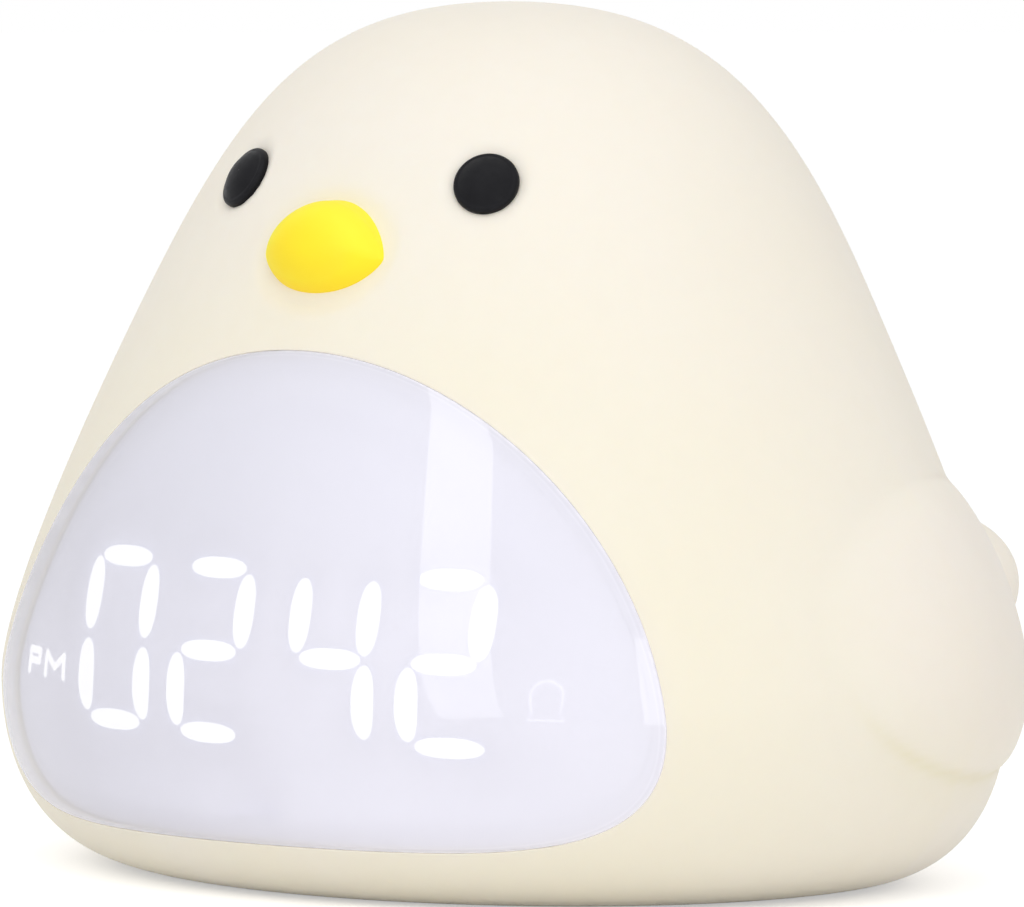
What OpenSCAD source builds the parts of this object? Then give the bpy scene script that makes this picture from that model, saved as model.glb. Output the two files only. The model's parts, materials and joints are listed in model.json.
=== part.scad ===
// Chick-shaped alarm clock with a night light.
//
// A soft silicone sleeve, with its wings moulded on, covers a rigid milky shell
// that screws down on a base plate. A curved window on the belly shows the time,
// a small panel in the back holds the controls, and a ring of lamps on a tower
// lights the head from inside. Heights are above the table. The clock faces -Y
// and +X is on the right of someone who reads it. The origin is on the table, in
// the middle of the clock's own box.

/* [Body] */
// Height from the table to the crown
body_h = 100; // [96:1:106]
// Width of the body where it is widest, without the wings
body_w = 126.6; // [122:0.2:134]
// Depth from the body's upright axis to the belly
front_reach = 53; // [51:0.5:57]
// Depth from the body's upright axis to the back
back_reach = 42; // [41:0.5:46]
// Height at which the body is widest
widest_z = 21.4; // [20:0.2:23]
// Height of the head above the flank
skull_h = 32.8; // [30:0.2:36]
// Size of the foot ring, as a share of the widest section
foot_share = 0.7; // [0.69:0.01:0.75]

/* [Sleeve and shell] */
// Thickness of the silicone sleeve
skin_t = 2.5; // [2.2:0.1:3]
// Thickness of the rigid shell under it
shell_t = 2.2; // [1.8:0.1:2.6]
// Air gap between the sleeve and the shell
skin_gap = 0.2; // [0.1:0.05:0.4]
// Height of the base plate's underside
base_lift = 0.6; // [0.4:0.1:1]
// Width of the shell's floor ring, which rests on the base plate
floor_ring = 3; // [2.5:0.1:4]

/* [Wings] */
// Length of a wing, front to back
wing_len = 50; // [44:1:54]
// Height of a wing
wing_h = 33; // [31:1:35]
// Height of a wing's middle
wing_z = 30.5; // [29:0.5:32]
// Distance of a wing's middle behind the body's axis
wing_y = 7; // [5:0.5:9]
// How far a wing stands out
wing_out = 3.2; // [2.6:0.1:3.6]
// Length and height of the lifted wing tip
wing_tip_size = 14; // [12:0.5:16]
// How far the wing tip stands out
wing_tip_out = 5.8; // [5:0.2:6.6]
// Height of the wing tip's middle
wing_tip_z = 34.5; // [33:0.5:36]
// Distance of the wing tip's middle behind the body's axis
wing_tip_y = 27; // [25:0.5:28.5]

/* [Face] */
// Distance of each eye from the middle
eye_x = 17.5; // [15:0.5:20]
// Distance of the eyes' middles below the crown
eye_drop = 19.8; // [17:0.2:23]
// Diameter of an eye
eye_d = 7.4; // [6:0.2:9]
// Height of an eye's dome above its rim
eye_dome = 1.3; // [0.8:0.1:1.8]
// Depth of the pocket that an eye sits in
eye_pocket = 1; // [0.6:0.1:1.4]
// Diameter of the stem that holds an eye
eye_stem_d = 2.6; // [2:0.2:3.2]
// Distance of the beak's middle below the crown
beak_drop = 27.6; // [26:0.2:29]
// Width of the beak
beak_w = 16.6; // [14.6:0.2:17.4]
// Height of the beak
beak_h = 11.4; // [10:0.2:12]
// How far the beak stands out of the face
beak_out = 4.6; // [4:0.2:6]
// Depth of the pocket that the beak sits in
beak_pocket = 1; // [0.6:0.1:1.4]
// Diameter of the stem that holds the beak
beak_stem_d = 4; // [3:0.2:5]

/* [Window] */
// Width of the window
window_w = 96; // [90:1:98]
// Distance of the window's top below the crown
window_drop = 38.6; // [37:0.2:42]
// Height of the window's bottom
window_bottom = 7; // [6.6:0.2:9]
// Height at which the window is widest
window_wide_z = 21.4; // [20:0.2:24]
// Thickness of the lens
lens_t = 2; // [1.6:0.1:2.1]
// How far the lens lies below the sleeve's surface
lens_inset = 0.3; // [0.25:0.05:0.35]
// Width of the ledge that the lens is glued to
lens_ledge = 2.4; // [2:0.1:3.5]
// Thickness of the mask behind the window
mask_t = 1.6; // [1.2:0.1:2]

/* [Display] */
// Distance of the display's middle from the window's middle
display_x = 1.8; // [0.6:0.1:2.4]
// Height of the display's middle
display_z = 28; // [26.5:0.1:29]
// Width of a digit between its upright strokes
digit_w = 9.4; // [8.4:0.1:9.6]
// Height of a digit between its top and bottom strokes
digit_h = 18.4; // [16:0.2:19]
// Distance between the digits of a pair
digit_pitch = 14.8; // [14.4:0.1:15.4]
// Distance between the two pairs' inner digits
pair_gap = 17.4; // [16.6:0.1:18]
// Width of a stroke
stroke_w = 2.6; // [2:0.1:3]
// Gap between the ends of two strokes
stroke_gap = 1.1; // [0.8:0.1:1.6]
// Width of the display board
display_board_w = 62; // [58:1:63]
// Height of the display board
display_board_h = 27; // [25:0.5:28]
// Distance of the display board in front of the body's axis
display_board_y = 31; // [30:0.5:31.5]

/* [Night light] */
// Diameter of the lamp board
lamp_board_d = 34; // [30:1:38]
// Height of the lamp board's underside
lamp_board_z = 58; // [54:1:60]
// Number of lamps round the board's rim
lamp_count = 8; // [6:1:10]
// Side of a lamp
lamp_side = 3.5; // [2.8:0.1:4]
// Diameter of the touch pad under the crown
touch_pad_d = 14; // [10:1:15]

/* [Battery] */
// Diameter of the battery cell
cell_d = 18.2; // [14:0.1:18.6]
// Length of the battery cell
cell_len = 65; // [60:0.5:66]
// Height of the cell's axis
cell_z = 26; // [25:0.5:27]
// Distance of the cell's axis behind the body's axis
cell_y = 3; // [2:0.5:4]

/* [Sound] */
// Diameter of the speaker
speaker_d = 28; // [24:0.5:29]
// Height of the speaker
speaker_h = 7.4; // [6:0.2:9]
// Diameter of a grille hole
grille_hole_d = 2; // [1.4:0.1:2.2]

/* [Main board] */
// Length of the main board, left to right
main_board_w = 37; // [34:0.5:37.5]
// Length of the main board, front to back
main_board_d = 36; // [32:0.5:36.5]
// Height of the main board's underside
main_board_z = 9; // [7:0.5:9.5]
// Thickness of every circuit board
board_t = 1.6; // [1:0.1:1.8]

/* [Controls] */
// Width of the control panel
panel_w = 40; // [39:0.5:42]
// Height of the control panel
panel_h = 20; // [19.5:0.5:22]
// Height of the control panel's middle
panel_z = 21.5; // [21:0.1:22.5]
// How far the panel's face lies below the back's outermost point
panel_recess = 3; // [2.8:0.1:3.4]
// Thickness of the panel's face
panel_t = 2; // [1.6:0.1:2.4]
// Diameter of a push button
button_d = 5; // [4:0.1:5.6]
// Distance between two push buttons
button_pitch = 9; // [8.4:0.1:9.4]
// Travel of a push button
button_travel = 0.6; // [0.3:0.05:0.7]
// How far a push button stands out of the panel's face
button_proud = 1; // [0.8:0.1:1.3]
// Travel of the alarm slider
slider_travel = 2; // [1.5:0.1:2.5]
// Width of the recess that a charging plug enters
plug_recess_w = 12; // [11:0.2:12.6]
// Height of the recess that a charging plug enters
plug_recess_h = 6.4; // [5.6:0.1:6.6]
// Depth of the recess that a charging plug enters
plug_recess_deep = 4.5; // [4.2:0.1:5]

/* [Fasteners] */
// Diameter of the big screws' shanks
screw_d = 2.6; // [2.2:0.1:3]
// Diameter of the big screws' heads
screw_head_d = 5; // [4.4:0.1:5.4]
// Diameter of the small screws' shanks
small_screw_d = 1.6; // [1.2:0.1:2]
// Diameter of the small screws' heads
small_head_d = 3; // [2.6:0.1:3.4]
// Diameter of a foot pad
foot_pad_d = 8; // [6:0.5:9]

/* [Hidden] */
$fn = 48;
face_gap = 0.1; // two faces that lie on each other
loose_gap = 0.3; // a piece in its opening
running_gap = 0.08; // a moving pin in its bore

// Shape of the body: three spans of a meridian, foot to waist, waist to shoulder
// and shoulder to crown. The bends are shares of the widest section.
shoulder_z = body_h - skull_h;
heel_rise = 1;
waist_lead = 0.36;
flank_handle = 9.2;
neck_handle = 12.9;
crown_handle = 22;
heel_bend = 0.955;
side_bend = [0.82, 0.707, 0.387];
front_bend = [0.80, 0.701, 0.355];
back_bend = [0.834, 0.787, 0.377];
height_spans = [
    [0, heel_rise, widest_z * (1 - waist_lead), widest_z],
    [widest_z, widest_z + flank_handle, shoulder_z - neck_handle, shoulder_z],
    [shoulder_z, shoulder_z + crown_handle, body_h, body_h],
];
around = 44; // points round a ring of the freeform solids
freeform_fn = 24; // facets of the round cuts in a freeform solid
rings = concat([for (i = [0:6]) i / 7], [for (i = [0:5]) 1 + i / 6], [for (i = [0:7]) 2 + i / 8]);

eye_z = body_h - eye_drop;
beak_z = body_h - beak_drop;
window_top = body_h - window_drop;

// Depths below the sleeve's surface
shell_out = skin_t + skin_gap;
shell_in = shell_out + shell_t;
lens_back = lens_inset + lens_t;
mask_front = shell_in + face_gap;
mask_back = mask_front + mask_t;
guide_front = mask_back + face_gap;

// The base
base_top = shell_out - face_gap;
foot_side = body_w / 2 * foot_share;
foot_front = front_reach * foot_share;
foot_back = back_reach * foot_share;
foot_edge = 0.5; // the sleeve's foot hole is this much wider than the foot ring
side_screw = [foot_side - 5.8, -8];
back_screw = [22, foot_back - 9.4];
boss_r = 3.5;
boss_top = 13;
boss_pad_h = 1.5;
boss_pad_r = boss_r + 0.7;
boss_roof = 1.5; // what stays above a screw in a boss
rib_t = 2;
head_recess = 1.7;
head_h = 1.5;
front_pad = [foot_side - 19.3, 13.1 - foot_front];
back_pad = [foot_side - 12.3, foot_back - 17.4];
foot_pad_h = 1.2;
base_screw_len = 9;
small_head_h = 1;

// The window and the display
window_upper = [1.3, 0.976];
window_lower = [0.866, 0.33];
window_points = 56;
window_reach = 12; // the window's cutters end this far in front of the axis
mask_lap = 1.5; // the mask is wider than the shell's opening by this much
digit_x = [
    -pair_gap / 2 - digit_pitch, -pair_gap / 2, pair_gap / 2, pair_gap / 2 + digit_pitch,
];
// Strokes of a digit: place in half widths and half heights, and whether upright
strokes = [
    [0, 1, false], [1, 0.5, true], [1, -0.5, true], [0, -1, false],
    [-1, -0.5, true], [-1, 0.5, true], [0, 0, false],
];
shown = [[0, 1, 2, 3, 4, 5], [0, 1, 6, 4, 3], [5, 6, 1, 2], [0, 1, 6, 4, 3]]; // 0 2 4 2
segment_t = 1;
well_wall = 1.4;
guide_flange_t = 1.2;
guide_deep = front_reach;
display_screw_len = 4.5;
display_screw_z = [for (side = [-1, 1]) display_z + side * digit_h * 0.4];
display_led = [1.2, 0.8, 2];
mark_t = 0.3;
mark_stroke = 0.75;
mark_h = 3;
bell_h = 4.6;
bell_stroke = 0.4;
pm_x = -42.4;
pm_z = 24.3;
bell_x = 36;
bell_z = 24.2;

// The battery cradle
cradle_wall = 1.6;
cradle_w = cell_d + 3.8;
cradle_floor = cell_z - cell_d / 2 - cradle_wall - face_gap;
cradle_end = cell_len / 2 + loose_gap;
cradle_screw_z = base_lift + 0.9;
cradle_head_h = 0.8;

// The night light
tower_y = cell_y + 2;
tower_d = 7;
tower_foot_w = 5.2;
tower_foot_in = cradle_end + 0.7;
tower_foot_x = tower_foot_in + tower_foot_w / 2;
tower_foot_z = 24;
cradle_rim = tower_foot_z - 2;
tower_beam = 4;
tower_plate_t = 2;
tower_knee = [tower_foot_x + tower_foot_w / 2, 38]; // as x and height
tower_top = [lamp_board_d / 2 - 2, lamp_board_z - face_gap - tower_plate_t + 0.5];
lamp_h = 1.9;
lamp_ring_r = lamp_board_d / 2 - 3.6;
lamp_screw_x = 6;
touch_pad_t = 0.3;
touch_pad_z = height(t_of_back(touch_pad_d / 2 + shell_in / 4)) - shell_in - loose_gap - touch_pad_t;

// The speaker
speaker_wall = 1;
speaker_at = [speaker_d / 2 + speaker_wall + loose_gap + boss_pad_r + 1 - side_screw.x, side_screw.y];
gasket_t = 0.8;
gasket_w = 2.4;
cone_t = 0.5;

// The main board and what it carries
main_board_at = [tower_foot_in - 0.5 - main_board_w / 2, -4];
board_post_r = 2.4;
board_post_in = 3;
chip_h = 1.5;
crystal_d = 2;
plug_size = [6, 4, 2.2];
plug_places = [[14.5, 10.5], [-15, -1], [14.5, 5.5], [5, 14]]; // battery, speaker, lamps, touch pad

// The control panel, measured from the body's axis
panel_face = back_reach - panel_recess;
panel_in = panel_face - panel_t;
panel_r = 4;
panel_wall = 1.5;
panel_flange = 2;
panel_flange_y = panel_face - 8;
rib_top = panel_z - panel_h / 2 - panel_flange - loose_gap;
control_board_y = panel_face - 13;
switch_face = control_board_y + board_t;
button_row_z = panel_z + 4.6;
lower_row_z = panel_z - 4.9;
button_x = [for (i = [-1.5:1:1.5]) i * button_pitch];
button_flange_t = 1;
button_flange = 0.7;
button_back = panel_in - face_gap - button_flange_t - loose_gap;
tact_side = 6;
tact_h = 3.5;
plunger_r = 1.7;
plunger_sink = 0.8;
slider_x = -9;
slider_neck = [3, 2.4];
slider_pin = [2, 1.6];
slider_shield = [8.4, 4, 0.8];
slide_body = [9, 4.6, 4.4];
plug_x = 9;
plug_cup_wall = 1.2;
socket_w = 8.94;
socket_h = 3.26;
socket_wall = 0.3;
control_screw_x = [-16.4, -1.35];
control_post_r = 1.8;

// Wires
wire_r = 0.6;
thin_wire_r = 0.4;
ribbon_t = 0.3;
wire_sides = 8;

// Every depth above is measured from the body's upright axis; this moves the axis
// so that the belly and the back lie equally far from the origin.
panel_edge_t = t_at(panel_z + panel_h / 2 + loose_gap);
axis_y = (front_reach - lens_inset - back_reach * along(spans(back_bend), panel_edge_t)) / 2;

// ---------------------------------------------------------------- the body's shape

function bezier(p, t) =
    p[0] * pow(1 - t, 3) + 3 * p[1] * t * pow(1 - t, 2)
    + 3 * p[2] * t * t * (1 - t) + p[3] * pow(t, 3);

// The half width or depth along the meridian, as a share of its widest
function spans(bend) = [
    [foot_share, heel_bend, 1, 1],
    [1, 1, bend[0], bend[1]],
    [bend[1], bend[1] - (bend[0] - bend[1]) * crown_handle / neck_handle, bend[2], 0],
];

function span_of(t) = min(floor(t), 2);
function along(curve, t) = bezier(curve[span_of(t)], t - span_of(t));
function height(t) = along(height_spans, t);
function side_at(t) = body_w / 2 * along(spans(side_bend), t);
function front_at(t) = front_reach * along(spans(front_bend), t);
function back_at(t) = back_reach * along(spans(back_bend), t);

// The place on the meridian at height z
function t_at(z, low = 0, high = 3, turns = 24) =
    turns == 0 ? (low + high) / 2
    : let (mid = (low + high) / 2)
      height(mid) < z ? t_at(z, mid, high, turns - 1) : t_at(z, low, mid, turns - 1);

// A point of the body, a degrees from +X, and the direction straight out of it
function body_point(a, t) = [
    side_at(t) * cos(a), (sin(a) < 0 ? front_at(t) : back_at(t)) * sin(a), height(t),
];
function unit(v) = v / norm(v);
function outward(a, t) = unit(cross(
    body_point(a + 0.5, t) - body_point(a - 0.5, t),
    body_point(a, min(t + 0.01, 3)) - body_point(a, max(t - 0.01, 0))
));
// The place on the head's meridian where the back lies r behind the axis
function t_of_back(r, low = 2, high = 3, turns = 24) =
    turns == 0 ? (low + high) / 2
    : let (mid = (low + high) / 2)
      back_at(mid) > r ? t_of_back(r, mid, high, turns - 1) : t_of_back(r, low, mid, turns - 1);
function front_angle(x, z) = -acos(x / side_at(t_at(z)));

// How far a wing lifts the sleeve at a point of the body
function hump(y, z, half_len, half_h) = max(0, 1 - pow(y / half_len, 2) - pow(z / half_h, 2));
function pad_lift(p) =
    let (up = max(0, (p.z - wing_z) / (wing_h / 2)))
    wing_out * pow(hump(p.y - wing_y, p.z - wing_z, wing_len / 2, wing_h / 2), 0.6 + 0.15 * up);
function tip_lift(p) =
    wing_tip_out * pow(
        hump(p.y - wing_tip_y, p.z - wing_tip_z, wing_tip_size / 2, wing_tip_size / 2), 0.7);
function wing_lift(p) =
    abs(p.x) < eye_x ? 0 : pow(pow(pad_lift(p), 3) + pow(tip_lift(p), 3), 1 / 3);

// The body as a closed solid, depth below the sleeve's surface
module body_volume(depth, wings = false) {
    count = len(rings);
    points = concat(
        [for (t = rings, i = [0:around - 1])
            let (a = i * 360 / around, p = body_point(a, t))
            p + outward(a, t) * ((wings ? wing_lift(p) : 0) - depth)],
        [[0, 0, depth], [0, 0, body_h - depth]]
    );
    polyhedron(points, concat(
        [for (k = [0:count - 2], i = [0:around - 1])
            let (j = (i + 1) % around, a = k * around, b = a + around)
            each [[a + i, b + i, b + j], [a + i, b + j, a + j]]],
        [for (i = [0:around - 1]) [count * around, i, (i + 1) % around]],
        [for (i = [0:around - 1])
            let (b = (count - 1) * around) [count * around + 1, b + (i + 1) % around, b + i]]
    ), convexity = 6);
}

// Freeform solids are worked out as one mesh
module freeform() {
    resize([0, 0, 0]) children();
}

// Puts a shape's +Z straight out of the front of the body at x and height z
module on_front(x, z) {
    t = t_at(z);
    a = front_angle(x, z);
    n = outward(a, t);
    translate(body_point(a, t)) rotate([0, acos(n.z), atan2(n.y, n.x)]) children();
}

// Moves a piece from the body's axis to its place round the origin
module placed() {
    translate([0, axis_y, 0]) children();
}

// Extrudes an outline, drawn as x and height, forward from y to y - deep
module toward_front(y, deep) {
    translate([0, y, 0]) rotate([90, 0, 0]) linear_extrude(deep) children();
}

// Extrudes an outline through the belly
module through_belly() {
    toward_front(-window_reach, front_reach) children();
}

// A foot-shaped outline, inset from the foot ring
module foot_outline(inset) {
    polygon([for (i = [0:95]) let (a = i * 360 / 96)
        [(foot_side - inset) * cos(a),
         ((sin(a) < 0 ? foot_front : foot_back) - inset) * sin(a)]]);
}

module rounded_box(w, h, r) {
    square([w - 2 * r, h], center = true);
    square([w, h - 2 * r], center = true);
    for (x = [-1, 1], y = [-1, 1]) translate([x * (w / 2 - r), y * (h / 2 - r)]) circle(r);
}

module mirrored_x() {
    children();
    mirror([1, 0, 0]) children();
}

// ---------------------------------------------------------------- sleeve, shell and base

module base_screw_places() {
    mirrored_x() {
        translate(side_screw) children();
        translate(back_screw) children();
    }
}

module eye_pockets() {
    for (side = [-1, 1]) on_front(side * eye_x, eye_z) {
        translate([0, 0, -eye_pocket])
            cylinder(d = eye_d + 2 * face_gap, h = 2 * shell_in, $fn = freeform_fn);
        translate([0, 0, -2 * shell_in])
            cylinder(d = eye_stem_d + 2 * face_gap, h = 2 * shell_in, $fn = freeform_fn);
    }
}

module panel_opening(grow) {
    toward_front(back_reach + 1, back_reach / 2) translate([0, panel_z])
        rounded_box(panel_w + 2 * grow, panel_h + 2 * grow, panel_r + grow, $fn = freeform_fn);
}

module silicone_skin() {
    color("#f9f0dd") placed() freeform() difference() {
        body_volume(0, wings = true);
        body_volume(skin_t);
        translate([0, 0, -1]) linear_extrude(skin_t + 2) foot_outline(-foot_edge);
        through_belly() window_outline(-loose_gap / 2);
        panel_opening(loose_gap);
        eye_pockets();
        beak_body(face_gap, beak_pocket + face_gap / 2);
        beak_stem(face_gap);
    }
}

module shell_bosses() {
    foot = base_top + boss_pad_h + face_gap;
    intersection() {
        body_volume(shell_out + shell_t / 2);
        union() {
            base_screw_places() translate([0, 0, foot])
                cylinder(r = boss_r, h = boss_top - foot, $fn = freeform_fn);
            mirrored_x() {
                translate([side_screw.x, side_screw.y - rib_t / 2, foot])
                    cube([body_w / 2 - side_screw.x, rib_t, rib_top - foot]);
                translate([back_screw.x - rib_t / 2, back_screw.y, foot])
                    cube([rib_t, back_reach - back_screw.y, rib_top - foot]);
            }
        }
    }
}

module inner_shell() {
    color("#f4f2ec") placed() freeform() difference() {
        union() {
            difference() {
                body_volume(shell_out);
                body_volume(shell_in);
                translate([0, 0, shell_out - 1]) linear_extrude(shell_t + 2) foot_outline(floor_ring);
                base_screw_places() translate([0, 0, shell_out - 1])
                    cylinder(r = boss_pad_r + loose_gap, h = boss_pad_h + 1, $fn = freeform_fn);
                through_belly() window_outline(lens_ledge);
                panel_opening(loose_gap);
                eye_pockets();
                beak_stem(face_gap);
                cradle_legs(loose_gap, 2 * shell_t);
            }
            shell_bosses();
        }
        base_screw_places()
            cylinder(d = screw_d + 2 * running_gap, h = boss_top - boss_roof, $fn = freeform_fn);
    }
}

module base_plate() {
    plate_out = foot_edge - loose_gap;
    color("#efe9dc") placed() difference() {
        union() {
            translate([0, 0, base_lift]) linear_extrude(base_top - base_lift) foot_outline(-plate_out);
            base_screw_places() translate([0, 0, base_lift])
                cylinder(r = boss_pad_r, h = base_top - base_lift + boss_pad_h);
            main_board_places() translate([0, 0, base_lift])
                cylinder(r = board_post_r, h = main_board_z - base_lift);
            translate(speaker_at) translate([0, 0, base_lift])
                cylinder(d = speaker_d + 2 * (speaker_wall + loose_gap), h = base_top - base_lift + 3);
        }
        translate(speaker_at) translate([0, 0, base_top]) cylinder(d = speaker_d + 2 * loose_gap, h = 10);
        translate(speaker_at) for (ring = [0:3], k = [0:max(0, ring * 6 - 1)])
            rotate(k * 60 / max(1, ring)) translate([ring * grille_hole_d * 1.6, 0, 0])
                cylinder(d = grille_hole_d, h = 5, $fn = 24);
        base_screw_places() {
            cylinder(d = screw_head_d + 2 * loose_gap, h = base_lift + head_recess);
            cylinder(d = screw_d + 2 * loose_gap, h = 10);
        }
        cradle_places() {
            cylinder(d = screw_head_d + 2 * loose_gap, h = cradle_screw_z);
            cylinder(d = screw_d + 2 * loose_gap, h = 10);
        }
        foot_pad_places() cylinder(d = foot_pad_d + 2 * face_gap, h = foot_pad_h + face_gap / 2);
        main_board_places() translate([0, 0, base_top])
            cylinder(d = small_screw_d + 2 * running_gap, h = main_board_z);
    }
}

// A pan-head screw that points up, with its head's underside on z = 0
module screw(shank_d, head_d, head, length) {
    cylinder(d = shank_d, h = length);
    translate([0, 0, -head]) cylinder(d = head_d, h = head);
}

module base_screws() {
    color("#b9bcc0") placed() base_screw_places() translate([0, 0, base_lift + head_recess])
        screw(screw_d, screw_head_d, head_h, base_screw_len);
}

module foot_pad_places() {
    mirrored_x() {
        translate(front_pad) children();
        translate(back_pad) children();
    }
}

module foot_pads() {
    color("#cfc9bd") placed() foot_pad_places() cylinder(d = foot_pad_d, h = foot_pad_h);
}

// ---------------------------------------------------------------- face

module eye(side) {
    dome_r = (pow(eye_d / 2, 2) + pow(eye_dome, 2)) / (2 * eye_dome);
    rim = 0.3;
    color("#26262b") placed() on_front(side * eye_x, eye_z) {
        translate([0, 0, -eye_pocket + face_gap]) cylinder(d = eye_d, h = eye_pocket + rim - face_gap);
        intersection() {
            translate([0, 0, rim - 0.01]) cylinder(d = eye_d, h = eye_dome + 1);
            translate([0, 0, rim + eye_dome - dome_r]) sphere(r = dome_r, $fn = 96);
        }
        translate([0, 0, -shell_in - loose_gap])
            cylinder(d = eye_stem_d, h = shell_in + loose_gap - eye_pocket + 2 * face_gap);
    }
}

module eye_left() { eye(-1); }
module eye_right() { eye(1); }

// The beak's rounded body, grown by grow, down to a depth below the face
module beak_body(grow, depth) {
    face_y = -front_at(t_at(beak_z));
    difference() {
        translate([0, face_y, beak_z])
            resize([beak_w + 2 * grow, 2 * (beak_out + grow), beak_h + 2 * grow])
                sphere(d = beak_h, $fn = freeform_fn);
        body_volume(depth);
    }
}

module beak_stem(grow) {
    face_y = -front_at(t_at(beak_z));
    translate([0, face_y + shell_in + 1.5, beak_z]) rotate([90, 0, 0])
        cylinder(d = beak_stem_d + 2 * grow, h = shell_in + 2, $fn = freeform_fn);
}

module beak() {
    color("#ffe93c") placed() freeform() {
        beak_body(0, beak_pocket);
        beak_stem(0);
    }
}

// ---------------------------------------------------------------- window and display

// The window's rounded triangle, wide at the bottom, inset by a distance
module window_outline(inset) {
    half = window_w / 2 - inset;
    polygon([for (i = [0:window_points - 1])
        let (a = (i + 0.5) * 360 / window_points, power = a < 180 ? window_upper : window_lower,
             rise = a < 180 ? window_top - inset - window_wide_z : window_wide_z - window_bottom - inset)
        [sign(cos(a)) * half * pow(abs(cos(a)), power[1]),
         window_wide_z + sign(sin(a)) * rise * pow(abs(sin(a)), power[0])]]);
}

// A layer of the belly between two depths, as wide as the 2D outline
module belly_layer(outer, inner) {
    intersection() {
        difference() {
            body_volume(outer);
            body_volume(inner);
        }
        through_belly() children();
    }
}

module display_lens() {
    color("#e6e2f2", 0.5) placed() freeform()
        belly_layer(lens_inset, lens_back) window_outline(loose_gap / 2);
}

module lens_tape() {
    color("#fbfbfd") placed() freeform()
        belly_layer(lens_back + face_gap / 2, shell_out - face_gap / 2) difference() {
            window_outline(loose_gap);
            window_outline(lens_ledge);
        }
}

// A leaf-shaped stroke along x, or upright
module stroke(upright, grow = 0) {
    length = upright ? digit_h / 2 - stroke_gap : digit_w - stroke_gap;
    rotate(upright ? 90 : 0) polygon([for (i = [0:11]) let (a = i * 30)
        [(length / 2 + grow) * cos(a),
         (stroke_w / 2 + grow) * sign(sin(a)) * pow(abs(sin(a)), 1.4)]]);
}

// Strokes of all digits that are lit, not lit, or both
module digit_strokes(lit, unlit, grow = 0) {
    for (d = [0:3], s = [0:6]) {
        on = len(search(s, shown[d])) > 0;
        if ((on && lit) || (!on && unlit))
            translate([display_x + digit_x[d] + strokes[s][0] * digit_w / 2,
                       display_z + strokes[s][1] * digit_h / 2])
                stroke(strokes[s][2], grow);
    }
}

module display_mask() {
    color("#e9e7f3") placed() freeform()
        belly_layer(mask_front, mask_back) difference() {
            window_outline(lens_ledge - mask_lap);
            digit_strokes(true, true, face_gap / 2);
        }
}

module lit_segments() {
    color("#ffffff") placed() freeform()
        belly_layer(mask_front, mask_front + segment_t) digit_strokes(true, false);
}

module unlit_segments() {
    color("#e4e2ee") placed() freeform()
        belly_layer(mask_front, mask_front + segment_t) digit_strokes(false, true);
}

module bar(from, to) {
    run = to - from;
    translate(from) rotate(atan2(run.y, run.x))
        translate([-mark_stroke / 2, -mark_stroke / 2]) square([norm(run) + mark_stroke, mark_stroke]);
}

module letter_p() {
    w = mark_h;
    bar([0, 0], [0, mark_h]);
    bar([0, mark_h], [w, mark_h]);
    bar([w, mark_h], [w, mark_h / 2]);
    bar([w, mark_h / 2], [0, mark_h / 2]);
}

module letter_m() {
    w = mark_h * 1.6;
    bar([0, 0], [0, mark_h]);
    bar([0, mark_h], [w / 2, mark_h * 0.4]);
    bar([w / 2, mark_h * 0.4], [w, mark_h]);
    bar([w, mark_h], [w, 0]);
}

module pm_mark() {
    color("#ffffff") placed() freeform() belly_layer(mask_front - mark_t, mask_front - mark_t / 6)
        translate([pm_x, pm_z - mark_h / 2]) {
            letter_p();
            translate([mark_h * 1.7, 0]) letter_m();
        }
}

module bell_figure(inset) {
    offset(delta = -inset) hull() {
        translate([0, bell_h * 0.14]) circle(d = bell_h * 0.72, $fn = 24);
        translate([-bell_h * 0.46, -bell_h / 2]) square([bell_h * 0.92, bell_h * 0.1]);
    }
}

module bell_mark() {
    color("#dfe0ee") placed() freeform() belly_layer(mask_front - mark_t, mask_front - mark_t / 6)
        translate([bell_x, bell_z]) difference() {
            bell_figure(0);
            bell_figure(bell_stroke);
        }
}

module light_guide() {
    block = [digit_w + stroke_w + well_wall, digit_h + stroke_w + well_wall];
    color("#f5f5f5") placed() freeform() difference() {
        intersection() {
            body_volume(guide_front);
            union() {
                toward_front(-display_board_y, guide_deep) for (x = digit_x)
                    translate([display_x + x, display_z]) square(block, center = true);
                toward_front(-display_board_y, guide_flange_t) translate([display_x, display_z])
                    square([display_board_w, display_board_h], center = true);
                toward_front(-display_board_y, guide_deep) for (z = display_screw_z)
                    translate([display_x, z]) circle(d = pair_gap - block.x + 0.6);
            }
        }
        toward_front(-display_board_y + 1, guide_deep) digit_strokes(true, true, 2 * face_gap);
        display_screw_places() rotate([90, 0, 0]) translate([0, 0, -1])
            cylinder(d = small_screw_d + 2 * running_gap, h = display_screw_len + 1);
    }
}

module display_screw_places() {
    for (z = display_screw_z) translate([display_x, -display_board_y, z]) children();
}

module display_board() {
    color("#3a7d4f") placed() difference() {
        toward_front(-display_board_y + board_t, board_t - face_gap) translate([display_x, display_z])
            rounded_box(display_board_w, display_board_h, 2);
        display_screw_places() rotate([90, 0, 0]) translate([0, 0, -board_t - 1])
            cylinder(d = small_screw_d + 2 * loose_gap, h = board_t + 2);
    }
}

module display_leds() {
    color("#f6f3c8") placed() for (d = [0:3], s = strokes)
        translate([display_x + digit_x[d] + s[0] * digit_w / 2,
                   -display_board_y + face_gap - display_led.y / 2,
                   display_z + s[1] * digit_h / 2])
            rotate([0, s[2] ? 0 : 90, 0]) cube(display_led, center = true);
}

module display_screws() {
    color("#b9bcc0") placed() display_screw_places()
        translate([0, board_t, 0]) rotate([90, 0, 0])
            screw(small_screw_d, small_head_d, small_head_h, display_screw_len);
}

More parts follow.
